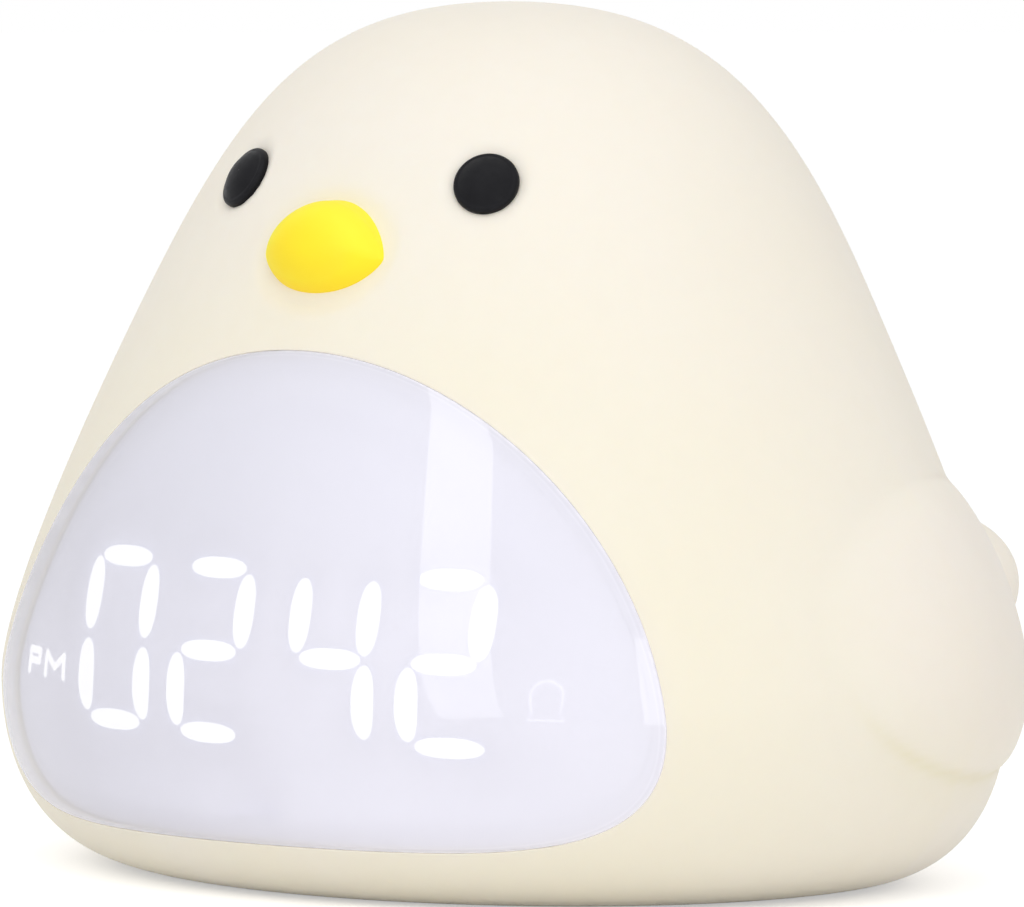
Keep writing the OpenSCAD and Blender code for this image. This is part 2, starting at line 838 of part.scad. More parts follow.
// A flat ribbon along x that follows points [y, z]
module ribbon(x, width, route) {
    below = [for (i = [len(route) - 1:-1:0]) route[i] - [0, ribbon_t]];
    translate([x - width / 2, 0, 0]) rotate([90, 0, 90]) linear_extrude(width)
        polygon(concat(route, below));
}

module display_ribbon() {
    board_back = -display_board_y + board_t;
    top = main_board_z + board_t + face_gap / 2 + ribbon_t;
    color("#d8d8dc") placed() ribbon(main_board_at.x - 7.2, 12, [
        [board_back + face_gap / 2, display_z - display_board_h / 2 + 4],
        [board_back + 2, display_z - display_board_h / 2 + 3.4],
        [board_back + 5, display_z - display_board_h / 2 - 1],
        [main_board_at.y - main_board_d / 2 + 1, top],
        [main_board_at.y - main_board_d / 2 + 3.5, top],
    ]);
}

// ---------------------------------------------------------------- main board

module main_board_places() {
    out = [main_board_w / 2 - board_post_in, main_board_d / 2 - board_post_in];
    translate(main_board_at) for (x = [-out.x, out.x], y = [-out.y, out.y]) translate([x, y]) children();
}

module on_main_board(x, y) {
    translate([main_board_at.x + x, main_board_at.y + y, main_board_z + board_t + face_gap]) children();
}

module main_board() {
    color("#2f7a4b") placed() difference() {
        translate([main_board_at.x, main_board_at.y, main_board_z + face_gap])
            linear_extrude(board_t - face_gap) rounded_box(main_board_w, main_board_d, 1.5);
        main_board_places() cylinder(d = small_screw_d + 2 * loose_gap, h = 2 * main_board_z);
    }
}

module main_chips() {
    color("#2a2a2d") placed() {
        on_main_board(0, 2) translate([-3.5, -3.5, 0]) cube([7, 7, 1.2]);
        on_main_board(-11, 4) translate([-2.5, -2, 0]) cube([5, 4, chip_h]);
        on_main_board(13, -3) translate([-2.5, -2, 0]) cube([5, 4, chip_h]);
        on_main_board(-10, -5) translate([-1.6, -1.6, 0]) cube([3.2, 3.2, chip_h]);
        on_main_board(8, -6) translate([-2, -2, 0]) cube([4, 4, 1.8]);
        for (i = [0:3]) on_main_board(-5 + i * 3, -6) cube([1.6, 0.8, 0.6]);
    }
}

module crystal() {
    color("#c9ccd1") placed() on_main_board(-8, 9)
        translate([0, 0, crystal_d / 2]) rotate([0, 90, 0]) cylinder(d = crystal_d, h = 3 * crystal_d);
}

module main_screws() {
    color("#b9bcc0") placed() main_board_places() translate([0, 0, main_board_z + board_t])
        mirror([0, 0, 1]) screw(small_screw_d, small_head_d, small_head_h, 5);
}

module lead_connectors() {
    color("#f1efe6") placed() for (p = plug_places)
        on_main_board(p.x, p.y) translate([-plug_size.x / 2, -plug_size.y / 2, 0]) cube(plug_size);
}

function plug_top(i) = [
    main_board_at.x + plug_places[i].x, main_board_at.y + plug_places[i].y,
    main_board_z + board_t + face_gap + plug_size.z,
];

// ---------------------------------------------------------------- wires

// A round wire along a list of points
module wire(points, r) {
    last = len(points) - 1;
    lean = unit([0.31, 0.9, 0.3]);
    polyhedron(
        [for (i = [0:last])
            let (go = unit(points[min(i + 1, last)] - points[max(i - 1, 0)]),
                 u = unit(cross(go, lean)), v = cross(go, u))
            for (k = [0:wire_sides - 1])
                let (a = k * 360 / wire_sides) points[i] + r * (cos(a) * u + sin(a) * v)],
        concat(
            [[for (k = [0:wire_sides - 1]) k]],
            [for (i = [0:last - 1], k = [0:wire_sides - 1])
                let (n = (k + 1) % wire_sides, a = i * wire_sides, b = a + wire_sides)
                each [[a + n, a + k, b + k], [a + n, b + k, b + n]]],
            [[for (k = [wire_sides - 1:-1:0]) last * wire_sides + k]]
        )
    );
}

module battery_lead() {
    start = plug_top(0) + [0, 0, face_gap];
    end = cell_len / 2 + face_gap;
    color("#c8342c") placed() wire([
        start, start + [0, 0.3, 0.7], start + [1, 4.5, 0.9], start + [2.8, 8.5, 1.2],
        [end + 3.2, 16, 17], [end + 4.6, 15, 21], [end + 4.4, 12.8, cell_z - 1.5],
        [end + 3.2, 11, cell_z + 0.3], [end + 1.4, 10.6, cell_z + 0.6], [end, 10.6, cell_z + 0.6],
    ], wire_r);
}

module speaker_lead() {
    start = plug_top(1) + [0, 0, face_gap];
    color("#2b2b2e") placed() wire([
        start, start + [-0.2, 0, 0.8], start + [-3, 0.3, 0.8],
        [speaker_at.x + 9.5, speaker_at.y + 2.2, base_top + gasket_t + speaker_h + 1.2],
        [speaker_at.x + 7.5, speaker_at.y + 1.6, base_top + gasket_t + speaker_h - 0.4],
    ], wire_r);
}

module light_lead() {
    start = plug_top(2) + [0, 0, face_gap];
    side = tower_foot_x;
    rim = lamp_board_d / 2 + face_gap;
    board_middle = lamp_board_z + board_t / 2;
    up_beam = tower_top - tower_knee;
    along_beam = [for (share = [0.1, 0.45, 0.8]) tower_knee + share * up_beam + [1.2, 1.5]];
    color("#e7e4da") placed() wire(concat(
        [start, start + [0, 0, 0.7], start + [0.8, -0.6, 1], start + [3.5, -2.7, 1],
         [side + 1.9, -1.6, 14.6], [side + 5.5, 0, 19], [side + 6.1, 4, 26],
         [side + 5.5, tower_y, tower_knee.y - 2]],
        [for (p = along_beam) [p.x, tower_y, p.y]],
        [[rim + 1.5, tower_y, lamp_board_z], [rim + 0.9, tower_y, board_middle],
         [rim, tower_y, board_middle]]
    ), wire_r);
}

module touch_lead() {
    start = plug_top(3) + [0, 0, face_gap];
    color("#e7e4da") placed() wire([
        start, start + [0, 0.3, 0.8], start + [0.5, 5.4, 2], start + [0.5, 6.5, 17],
        [18, 20, body_h * 0.5], [15, 22, body_h * 0.64], [9, 14, body_h * 0.84],
        [4, 4, touch_pad_z - 2.2], [3, 2, touch_pad_z - 0.3],
    ], thin_wire_r);
}

// ---------------------------------------------------------------- night light

module light_tower() {
    foot_in = tower_foot_in;
    foot_top = tower_foot_z + face_gap;
    plate_z = lamp_board_z - face_gap - tower_plate_t;
    color("#f7f7f7") placed() difference() {
        union() {
            mirrored_x() toward_front(tower_y + tower_d / 2, tower_d) polygon([
                [foot_in, foot_top], [tower_knee.x, foot_top], tower_knee, tower_top,
                tower_top - [tower_beam + 2, 0], [foot_in, tower_knee.y - 1],
            ]);
            translate([0, tower_y, plate_z]) cylinder(d = lamp_board_d, h = tower_plate_t);
        }
        lamp_screw_places() translate([0, 0, -8])
            cylinder(d = small_screw_d + 2 * running_gap, h = 10);
    }
}

module lamp_screw_places() {
    for (x = [-1, 1]) translate([x * lamp_screw_x, tower_y, lamp_board_z]) children();
}

module light_board() {
    color("#f2f2f0") placed() difference() {
        translate([0, tower_y, lamp_board_z]) cylinder(d = lamp_board_d, h = board_t);
        lamp_screw_places() translate([0, 0, -1]) cylinder(d = small_screw_d + 2 * loose_gap, h = 5);
    }
}

module light_leds() {
    color("#fff2b0") placed() translate([0, tower_y, lamp_board_z + board_t]) {
        for (i = [0:lamp_count - 1])
            rotate((i + 0.5) * 360 / lamp_count) translate([lamp_ring_r, 0, lamp_h / 2])
                cube([lamp_side, lamp_side, lamp_h], center = true);
        translate([0, 0, lamp_h / 2]) cube([lamp_side, lamp_side, lamp_h], center = true);
    }
}

module light_screws() {
    color("#b9bcc0") placed() lamp_screw_places()
        translate([0, 0, board_t]) mirror([0, 0, 1])
            screw(small_screw_d, small_head_d, small_head_h, 3.4);
}

module touch_pad() {
    color("#c98f4e") placed() translate([0, 0, touch_pad_z]) cylinder(d = touch_pad_d, h = touch_pad_t);
}

// ---------------------------------------------------------------- battery

module cradle_places() {
    mirrored_x() translate([tower_foot_x, tower_y]) children();
}

module battery() {
    color("#3f6fb0") placed() translate([-cell_len / 2, cell_y, cell_z]) rotate([0, 90, 0])
        cylinder(d = cell_d, h = cell_len);
}

module cradle_legs(gap, height) {
    mirrored_x() translate([tower_foot_in - gap, tower_y - tower_d / 2 - gap, base_top + face_gap - gap])
        cube([tower_foot_w + 2 * gap, tower_d + 2 * gap, height + 2 * gap]);
}

module battery_cradle() {
    color("#e9e7e2") placed() difference() {
        union() {
            translate([-cradle_end - cradle_wall, cell_y - cradle_w / 2, cradle_floor])
                cube([2 * (cradle_end + cradle_wall), cradle_w, cradle_rim - cradle_floor]);
            cradle_legs(0, tower_foot_z - base_top - face_gap);
        }
        translate([-cradle_end, cell_y, cell_z]) rotate([0, 90, 0])
            cylinder(d = cell_d + 2 * face_gap, h = 2 * cradle_end);
        cradle_places() cylinder(d = screw_d + 2 * running_gap, h = cradle_screw_z + base_screw_len + 1);
    }
}

module cradle_screws() {
    color("#b9bcc0") placed() cradle_places() translate([0, 0, cradle_screw_z])
        screw(screw_d, screw_head_d, cradle_head_h, base_screw_len);
}

// ---------------------------------------------------------------- speaker

module speaker() {
    r = speaker_d / 2;
    z = base_top + gasket_t + face_gap;
    color("#3a3a3d") placed() translate([speaker_at.x, speaker_at.y, z]) difference() {
        union() {
            cylinder(r = r, h = 2.2);
            cylinder(r = r * 0.72, h = speaker_h - 3);
            cylinder(r = r * 0.5, h = speaker_h);
        }
        translate([0, 0, -1]) cylinder(r = r * 0.62, h = 2.8);
    }
}

module speaker_cone() {
    r = speaker_d / 2 * 0.62 - face_gap;
    z = base_top + gasket_t + face_gap;
    color("#232326") placed() translate([speaker_at.x, speaker_at.y, z]) {
        translate([0, 0, 1.8 - cone_t - face_gap]) cylinder(r = r, h = cone_t);
        translate([0, 0, 0.7]) cylinder(r = r * 0.4, h = 1);
    }
}

module speaker_gasket() {
    z = base_top + face_gap / 2;
    color("#4a4a4e") placed() translate([speaker_at.x, speaker_at.y, z]) difference() {
        cylinder(d = speaker_d, h = gasket_t);
        translate([0, 0, -1]) cylinder(d = speaker_d - 2 * gasket_w, h = gasket_t + 2);
    }
}

// ---------------------------------------------------------------- controls

module at_panel(x, z, y) {
    translate([x, y, z]) rotate([-90, 0, 0]) children();
}

// A box from y to y + deep, centred at x and height z
module panel_box(x, z, y, w, h, deep) {
    translate([x - w / 2, y, z - h / 2]) cube([w, deep, h]);
}

module panel_prism(y, deep, grow) {
    translate([0, y + deep, 0]) rotate([90, 0, 0]) linear_extrude(deep) translate([0, panel_z])
        rounded_box(panel_w + 2 * grow, panel_h + 2 * grow, max(0.6, panel_r + grow));
}

module control_panel() {
    slot = [slider_neck.x + slider_travel + 2 * loose_gap, slider_neck.y + 2 * loose_gap];
    cup_floor = panel_face - plug_recess_deep;
    tray_end = control_board_y - 1;
    color("#ece5d6") placed() difference() {
        union() {
            difference() {
                union() {
                    panel_prism(tray_end, panel_face - tray_end, 0);
                    panel_prism(panel_flange_y, panel_wall, panel_flange);
                }
                panel_prism(tray_end - 1, panel_in - tray_end + 1, -panel_wall);
            }
            panel_box(plug_x, lower_row_z, cup_floor - plug_cup_wall, plug_recess_w + 2 * plug_cup_wall,
                plug_recess_h + 2 * plug_cup_wall, plug_recess_deep);
            for (x = control_screw_x) at_panel(x, lower_row_z, switch_face + face_gap)
                cylinder(r = control_post_r, h = panel_in - switch_face);
        }
        for (x = button_x) at_panel(x, button_row_z, panel_in - 1)
            cylinder(d = button_d + 2 * running_gap, h = panel_t + 2);
        panel_box(slider_x, lower_row_z, panel_in - 1, slot.x, slot.y, panel_t + 2);
        panel_box(plug_x, lower_row_z, cup_floor, plug_recess_w, plug_recess_h, plug_recess_deep + 1);
        panel_box(plug_x, lower_row_z, cup_floor - 3, socket_w + 2 * face_gap, socket_h + 2 * face_gap, 5);
        for (x = control_screw_x) at_panel(x, lower_row_z, switch_face)
            cylinder(d = small_screw_d + 2 * running_gap, h = 5);
    }
}

module control_board() {
    color("#2f7a4b") placed() difference() {
        panel_prism(control_board_y, board_t, -panel_wall - face_gap);
        for (x = control_screw_x) at_panel(x, lower_row_z, control_board_y - 1)
            cylinder(d = small_screw_d + 2 * loose_gap, h = 5);
    }
}

module control_screws() {
    color("#b9bcc0") placed() for (x = control_screw_x) at_panel(x, lower_row_z, control_board_y)
        screw(small_screw_d, small_head_d, small_head_h, 5);
}

module control_ribbon() {
    top = main_board_z + board_t + face_gap / 2 + ribbon_t;
    color("#d8d8dc") placed() ribbon(main_board_at.x - 6.5, 8, [
        [main_board_at.y + main_board_d / 2 - 1.6, top],
        [main_board_at.y + main_board_d / 2 + 1, top],
        [main_board_at.y + main_board_d / 2 + 7, panel_z - 7],
        [control_board_y - 1.2, panel_z - 2.5],
        [control_board_y - face_gap / 2, panel_z - 2.5],
    ]);
}

module button(i) {
    color("#f6eedd") placed() at_panel(button_x[i], button_row_z, button_back) {
        cylinder(d = button_d, h = panel_face + button_proud - button_back);
        translate([0, 0, loose_gap]) cylinder(r = button_d / 2 + button_flange, h = button_flange_t);
    }
}

module plunger(i) {
    start = switch_face + tact_h - plunger_sink;
    color("#2b2b2e") placed() at_panel(button_x[i], button_row_z, start)
        cylinder(r = plunger_r, h = button_back - start);
}

module button_light() { button(0); }
module button_mode() { button(1); }
module button_plus() { button(2); }
module button_minus() { button(3); }
module plunger_light() { plunger(0); }
module plunger_mode() { plunger(1); }
module plunger_plus() { plunger(2); }
module plunger_minus() { plunger(3); }

module tact_switches() {
    color("#5a5a5e") placed() for (x = button_x) difference() {
        panel_box(x, button_row_z, switch_face, tact_side, tact_side, tact_h);
        at_panel(x, button_row_z, switch_face + tact_h - plunger_sink - button_travel - loose_gap)
            cylinder(r = plunger_r + running_gap, h = tact_h);
    }
}

module alarm_slider() {
    x = slider_x - slider_travel / 2;
    shield_y = panel_in - face_gap - slider_shield.z;
    pin_y = switch_face + slide_body.z - 1.8;
    color("#3b3b40") placed() {
        panel_box(x, lower_row_z, pin_y, slider_pin.x, slider_pin.y, shield_y - pin_y + 0.1);
        panel_box(x, lower_row_z, shield_y, slider_shield.x, slider_shield.y, slider_shield.z);
        panel_box(x, lower_row_z, shield_y, slider_neck.x, slider_neck.y,
            panel_face + button_proud - shield_y);
    }
}

module slide_switch() {
    slot = [slider_pin.x + slider_travel + 2 * face_gap, slider_pin.y + 2 * face_gap];
    color("#c4c6ca") placed() difference() {
        panel_box(slider_x, lower_row_z, switch_face, slide_body.x, slide_body.y, slide_body.z);
        panel_box(slider_x, lower_row_z, switch_face + slide_body.z - 2, slot.x, slot.y, 3);
    }
}

// A slot-shaped outline with round ends
module stadium(w, h) {
    square([w - h, h], center = true);
    for (x = [-1, 1]) translate([x * (w - h) / 2, 0]) circle(d = h);
}

module usb_socket() {
    mouth = panel_face - plug_recess_deep;
    deep = mouth - switch_face;
    color("#b7bac0") placed() at_panel(plug_x, lower_row_z, switch_face) {
        difference() {
            linear_extrude(deep) stadium(socket_w, socket_h);
            translate([0, 0, deep - 5]) linear_extrude(6)
                stadium(socket_w - 2 * socket_wall, socket_h - 2 * socket_wall);
        }
        translate([-socket_w * 0.37, -0.35, deep - 5.1]) cube([socket_w * 0.74, 0.7, 4.6]);
    }
}

// ---------------------------------------------------------------- the part

silicone_skin();
inner_shell();
base_plate();
base_screws();
foot_pads();
eye_left();
eye_right();
beak();
display_lens();
lens_tape();
display_mask();
lit_segments();
unlit_segments();
pm_mark();
bell_mark();
light_guide();
display_board();
display_leds();
display_screws();
display_ribbon();
main_board();
main_chips();
crystal();
main_screws();
lead_connectors();
battery();
battery_cradle();
cradle_screws();
battery_lead();
speaker();
speaker_cone();
speaker_gasket();
speaker_lead();
light_tower();
light_board();
light_leds();
light_screws();
light_lead();
touch_pad();
touch_lead();
control_panel();
control_board();
control_screws();
control_ribbon();
button_light();
button_mode();
button_plus();
button_minus();
plunger_light();
plunger_mode();
plunger_plus();
plunger_minus();
tact_switches();
alarm_slider();
slide_switch();
usb_socket();
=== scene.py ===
"""Looks for the kids alarm clock with night light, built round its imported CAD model.

Lengths in this script are millimetres, measured from the body's upright axis, until a
mesh is made: raw_mesh() turns them into metres in the model's own frame.
"""
import json
import math

import bmesh
import bpy
import numpy as np
from mathutils import Matrix, Vector


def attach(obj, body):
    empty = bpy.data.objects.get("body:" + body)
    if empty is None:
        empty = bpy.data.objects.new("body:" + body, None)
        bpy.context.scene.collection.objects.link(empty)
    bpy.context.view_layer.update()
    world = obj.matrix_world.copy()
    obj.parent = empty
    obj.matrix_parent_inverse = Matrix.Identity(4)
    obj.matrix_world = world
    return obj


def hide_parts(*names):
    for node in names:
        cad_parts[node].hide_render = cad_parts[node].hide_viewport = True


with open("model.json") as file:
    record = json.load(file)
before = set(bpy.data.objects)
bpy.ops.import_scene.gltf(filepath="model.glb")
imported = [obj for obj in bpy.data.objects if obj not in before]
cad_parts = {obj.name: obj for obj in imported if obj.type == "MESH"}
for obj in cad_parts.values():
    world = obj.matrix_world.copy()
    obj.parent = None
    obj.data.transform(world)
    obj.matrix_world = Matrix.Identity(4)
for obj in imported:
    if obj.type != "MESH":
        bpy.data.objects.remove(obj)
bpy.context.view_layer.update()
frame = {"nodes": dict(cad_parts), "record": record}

MM = 0.001
AXIS_Y = 6.0209  # the body's upright axis lies this far behind the origin

# ---- sizes: the CAD source's, or close to them

BODY_H, BODY_W, FRONT_REACH, BACK_REACH = 100.0, 126.6, 53.0, 42.0
WIDEST_Z, SHOULDER_Z, FOOT_SHARE, HEEL_BEND = 21.4, 67.2, 0.7, 0.955
FLANK_HANDLE, NECK_HANDLE, CROWN_HANDLE, WAIST_LEAD = 9.2, 12.9, 22.0, 0.36
SIDE_BEND, FRONT_BEND, BACK_BEND = (0.82, 0.707, 0.387), (0.80, 0.701, 0.355), (0.834, 0.787, 0.377)
SKIN_T, FOOT_EDGE = 2.5, 0.5
WING_LEN, WING_H, WING_Y, WING_Z, WING_OUT = 50.0, 33.0, 7.0, 30.5, 3.0
TIP_SIZE, TIP_OUT, TIP_Y, TIP_Z = 14.0, 5.8, 27.0, 34.5
EYE_X, EYE_Z, EYE_D, EYE_POCKET = 17.5, 80.2, 7.5, 1.0
BEAK_Z, BEAK_W, BEAK_H, BEAK_OUT, BEAK_SINK = 72.3, 16.6, 11.4, 5.2, 1.1
WINDOW_W, WINDOW_TOP, WINDOW_BOTTOM, WINDOW_WIDE_Z = 96.0, 61.4, 7.0, 21.4
WINDOW_UPPER, WINDOW_LOWER, WINDOW_HUB = (1.3, 0.976), (0.866, 0.33), (0, 28)
DISPLAY_X, DISPLAY_Z, DIGIT_W, DIGIT_H, DIGIT_PITCH, PAIR_GAP = 1.8, 28.0, 9.4, 18.4, 15.1, 17.4
STROKE_W, UPRIGHT_W, STROKE_GAP = 2.35, 2.9, 1.0
MARK_H, MARK_STROKE, PM_X, PM_Z, BELL_X, BELL_Z, BELL_H = 2.4, 0.85, -42.3, 24.3, 35.8, 24.2, 4.6
PANEL_W, PANEL_H, PANEL_Z, PANEL_R, PANEL_GAP, PANEL_FACE = 40.0, 20.0, 21.5, 4.0, 0.3, 39.0
BUTTON_D, BUTTON_PITCH, BUTTON_PROUD, ROW_Z = 5.0, 9.0, 1.0, 26.1
FLANGE_OUT, FLANGE_BACK = 0.7, 3.4  # round a button: how wide, and how far behind the panel's face

# ---- the scene's own relief, light and camera

VALLEY_Y, VALLEY_DEEP = 21.6, 1.3  # the fold between the wing and its lifted tip
EYE_DIMPLE, BEAK_DIMPLE = 0.55, 0.45  # how deep the sleeve dips round them
HOLE_GAP, LENS_INSET, LENS_BACK, BEVEL = 0.02, 0.02, 1.5, 0.5  # the window's gap, depths and bevel
# the mask's depths low in its middle, near its rim, at its edge and at its back
MASK_DEEP, MASK_RIM, MASK_EDGE, MASK_BACK = 4.97, 2.68, 2.12, 6.6
MASK_INSET, MASK_LEAN = 2.41, 0.1  # inside the window's outline, and for each mm of height
TAPE_OUTER, TAPE_FRONT, TAPE_BACK = 0.03, 2.1, 2.5
# the display's light painted on the mask as a glow, which grows from left to right
ROOM_LEFT, ROOM_RISE, ROOM_FROM, ROOM_WIDE = 0.055, 0.125, -30.0, 55.0
# the strip softbox: its width, its level low down, and its ends as two directions and a distance
STRIP_W, STRIP_LOW, STRIP_ENDS = 250, 0.68, ((11.3, -0.6, 1000), (-4.7, 48, 1280))
CAMERA_AZ, CAMERA_EL, CAMERA_AWAY = 37.81, 3.72, 990  # degrees from the front and up, and distance
CAMERA_ASIDE, CAMERA_UP = 0.633, 48.045  # from the line through the body's foot
RING_POINTS = 400  # on each outline of the window, the mask and the tape

# ---- the body's surface


def spans(bend):
    """The control values of a side's three curves, as shares of its reach."""
    waist, shoulder, crown = bend
    lead = shoulder - (waist - shoulder) * CROWN_HANDLE / NECK_HANDLE
    return [(FOOT_SHARE, HEEL_BEND, 1, 1), (1, 1, waist, shoulder), (shoulder, lead, crown, 0)]


HEIGHTS = [
    (0, 1, WIDEST_Z * (1 - WAIST_LEAD), WIDEST_Z),
    (WIDEST_Z, WIDEST_Z + FLANK_HANDLE, SHOULDER_Z - NECK_HANDLE, SHOULDER_Z),
    (SHOULDER_Z, SHOULDER_Z + CROWN_HANDLE, BODY_H, BODY_H),
]


def along(curve, t):
    """The chain of cubic curves at t, from 0 at the foot to 3 at the crown."""
    t = np.clip(t, 0, 3)
    k = np.minimum(t.astype(int), 2)
    p, u = np.array(curve, float)[k], t - k
    v = 1 - u
    return p[..., 0] * v ** 3 + 3 * p[..., 1] * u * v ** 2 + 3 * p[..., 2] * u * u * v + p[..., 3] * u ** 3


MERIDIAN = np.linspace(0, 3, 6001)
MERIDIAN_Z = along(HEIGHTS, MERIDIAN)


def t_at(z):
    return np.interp(z, MERIDIAN_Z, MERIDIAN)


def reach(a, t):
    front, back = FRONT_REACH * along(spans(FRONT_BEND), t), BACK_REACH * along(spans(BACK_BEND), t)
    return BODY_W / 2 * along(spans(SIDE_BEND), t), np.where(np.sin(a) < 0, front, back)


def body_point(a, t):
    x, y = reach(a, t)
    return np.stack([x * np.cos(a), y * np.sin(a), along(HEIGHTS, t)], -1)


def outward(a, t):
    """The surface's unit normal."""
    d = 0.003
    t = np.clip(t, d, 2.99)
    n = np.cross(body_point(a + d, t) - body_point(a - d, t), body_point(a, t + d) - body_point(a, t - d))
    return n / np.linalg.norm(n, axis=-1, keepdims=True)


def place(x, z, front=True):
    """The surface parameters of the point at x and height z."""
    t = t_at(z)
    a = np.arccos(np.clip(x / reach(np.zeros_like(t), t)[0], -1, 1))
    return (2 * math.pi - a if front else a), t


def at_depth(x, z, depth, front=True):
    """The point at x and height z, this deep below the surface."""
    px, pz = x, z
    for _ in range(8):
        a, t = place(px, pz, front)
        n = outward(a, t)
        px, pz = x + n[..., 0] * depth, z + n[..., 2] * depth
    a, t = place(px, pz, front)
    return body_point(a, t) - outward(a, t) * np.asarray(depth, float)[..., None]


def smooth(x):
    x = np.clip(x, 0, 1)
    return x * x * (3 - 2 * x)


def hump(dy, dz, half_len, half_h):
    return np.maximum(0, 1 - (dy / half_len) ** 2 - (dz / half_h) ** 2)


EYES = [body_point(*place(np.array([s * EYE_X]), np.array([EYE_Z])))[0] for s in (-1, 1)]
# the beak's base, sunk into the face behind it
BEAK_Y = BEAK_SINK - float(reach(np.array(-1.0), t_at(np.array(BEAK_Z)))[1])


def lift(p):
    """How far the sleeve stands out of the plain body: wings, and dimples round eyes and beak."""
    x, y, z = p[..., 0], p[..., 1], p[..., 2]
    up = np.maximum(0, (z - WING_Z) / (WING_H / 2))
    down = np.clip((WING_Z - z) / (WING_H / 2), 0, 1)
    ahead = smooth((WING_Y - y) / (WING_LEN / 2))
    blend = 0.6 + 0.15 * up - 0.12 * down + 0.9 * ahead * (1 - 0.55 * down)
    pad = WING_OUT * hump(y - WING_Y, z - WING_Z, WING_LEN / 2, WING_H / 2) ** blend
    tip = TIP_OUT * hump(y - TIP_Y, z - TIP_Z, TIP_SIZE / 2, TIP_SIZE / 2) ** 0.7
    valley = VALLEY_DEEP * np.exp(-((y - VALLEY_Y) / 1.3) ** 2)
    valley = valley * smooth((z - 22) / 7) * smooth((45 - z) / 7)
    out = np.where(np.abs(x) > EYE_X, (pad ** 3 + tip ** 3) ** (1 / 3) - valley, 0)
    for eye in EYES:
        r = np.linalg.norm(p - eye, axis=-1)
        out = out - EYE_DIMPLE * smooth((5.3 - r) / 1.9) + 0.06 * np.exp(-((r - 5.6) / 0.9) ** 2)
    r = np.sqrt((x / (BEAK_W / 2)) ** 2 + ((z - BEAK_Z) / (BEAK_H / 2)) ** 2)
    return out - np.where(y < 0, BEAK_DIMPLE * smooth((1.28 - r) / 0.28), 0)


def surface(a, t):
    p = body_point(a, t)
    return p + outward(a, t) * lift(p)[..., None]


# ---- meshes


class Shape:
    """Collects rows of points and the faces between them."""

    def __init__(self):
        self.points, self.faces, self.count = [], [], 0

    def row(self, points):
        points = np.asarray(points, float).reshape(-1, 3)
        self.points.append(points)
        self.count += len(points)
        return np.arange(self.count - len(points), self.count)

    def band(self, low, high, closed=True):
        n = len(low)
        for i in range(n if closed else n - 1):
            j = (i + 1) % n
            self.faces.append((low[i], low[j], high[j], high[i]))

    def bands(self, rows, closed=True):
        for low, high in zip(rows, rows[1:]):
            self.band(low, high, closed)

    def fan(self, ring, centre):
        tip = self.row([centre])[0]
        for i in range(len(ring)):
            self.faces.append((ring[i], ring[(i + 1) % len(ring)], tip))

    def step_down(self, fine, coarse):
        """Faces between a ring and one with fewer points."""
        step = len(fine) // len(coarse)
        for i in range(len(coarse)):
            run = [fine[(i * step + k) % len(fine)] for k in range(step + 1)]
            self.faces.append(tuple(run + [coarse[(i + 1) % len(coarse)], coarse[i]]))


def put_in_scene(name, data):
    made = bpy.data.objects.new(name, data)
    bpy.context.scene.collection.objects.link(made)
    return made


def raw_mesh(name, shape):
    mesh = bpy.data.meshes.new(name)
    points = (np.concatenate(shape.points) + [0, AXIS_Y, 0]) * MM
    mesh.from_pydata(points.tolist(), [], [tuple(map(int, f)) for f in shape.faces])
    return mesh


def build(name, shape, body="clock", colour=None):
    """Makes the mesh object, closed and smooth, riding on a body."""
    mesh = raw_mesh(name, shape)
    bm = bmesh.new()
    bm.from_mesh(mesh)
    bmesh.ops.remove_doubles(bm, verts=bm.verts, dist=0.001 * MM)
    bmesh.ops.dissolve_degenerate(bm, edges=bm.edges, dist=1e-7)
    bmesh.ops.recalc_face_normals(bm, faces=bm.faces)
    bm.to_mesh(mesh)
    bm.free()
    mesh.polygons.foreach_set("use_smooth", [True] * len(mesh.polygons))
    if colour:
        co = np.zeros(len(mesh.vertices) * 3)
        mesh.vertices.foreach_get("co", co)
        values = colour(co.reshape(-1, 3) / MM - [0, AXIS_Y, 0])
        layer = mesh.color_attributes.new("shade", "FLOAT_COLOR", "POINT")
        rgba = np.ones((len(mesh.vertices), 4))
        rgba[:, :values.shape[1]] = values
        layer.data.foreach_set("color", rgba.ravel())
    piece = put_in_scene(name, mesh)
    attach(piece, body)
    return piece


SECTORS = (-25, 50, 130, 205)  # directions in degrees, between which a ring's points are spread


def spread(points, counts, centre=WINDOW_HUB):
    """Points along a closed outline, spread evenly in each of its sectors."""
    loop = np.vstack([points, points[:1]])
    run = np.concatenate([[0], np.cumsum(np.linalg.norm(np.diff(loop, axis=0), axis=1))])
    angle = np.unwrap(np.arctan2(*(loop - centre).T[::-1]))
    starts = [angle[0] + (math.radians(d) - angle[0]) % (2 * math.pi) for d in SECTORS]
    marks = [np.interp(v, angle, run) for v in starts]
    out = []
    for k, n in enumerate(counts):
        start, end = marks[k], marks[(k + 1) % len(marks)]
        if end <= start:
            end += run[-1]
        out.append((start + (end - start) * np.arange(n) / n) % run[-1])
    run_at = np.concatenate(out)
    return np.stack([np.interp(run_at, run, loop[:, i]) for i in (0, 1)], -1)


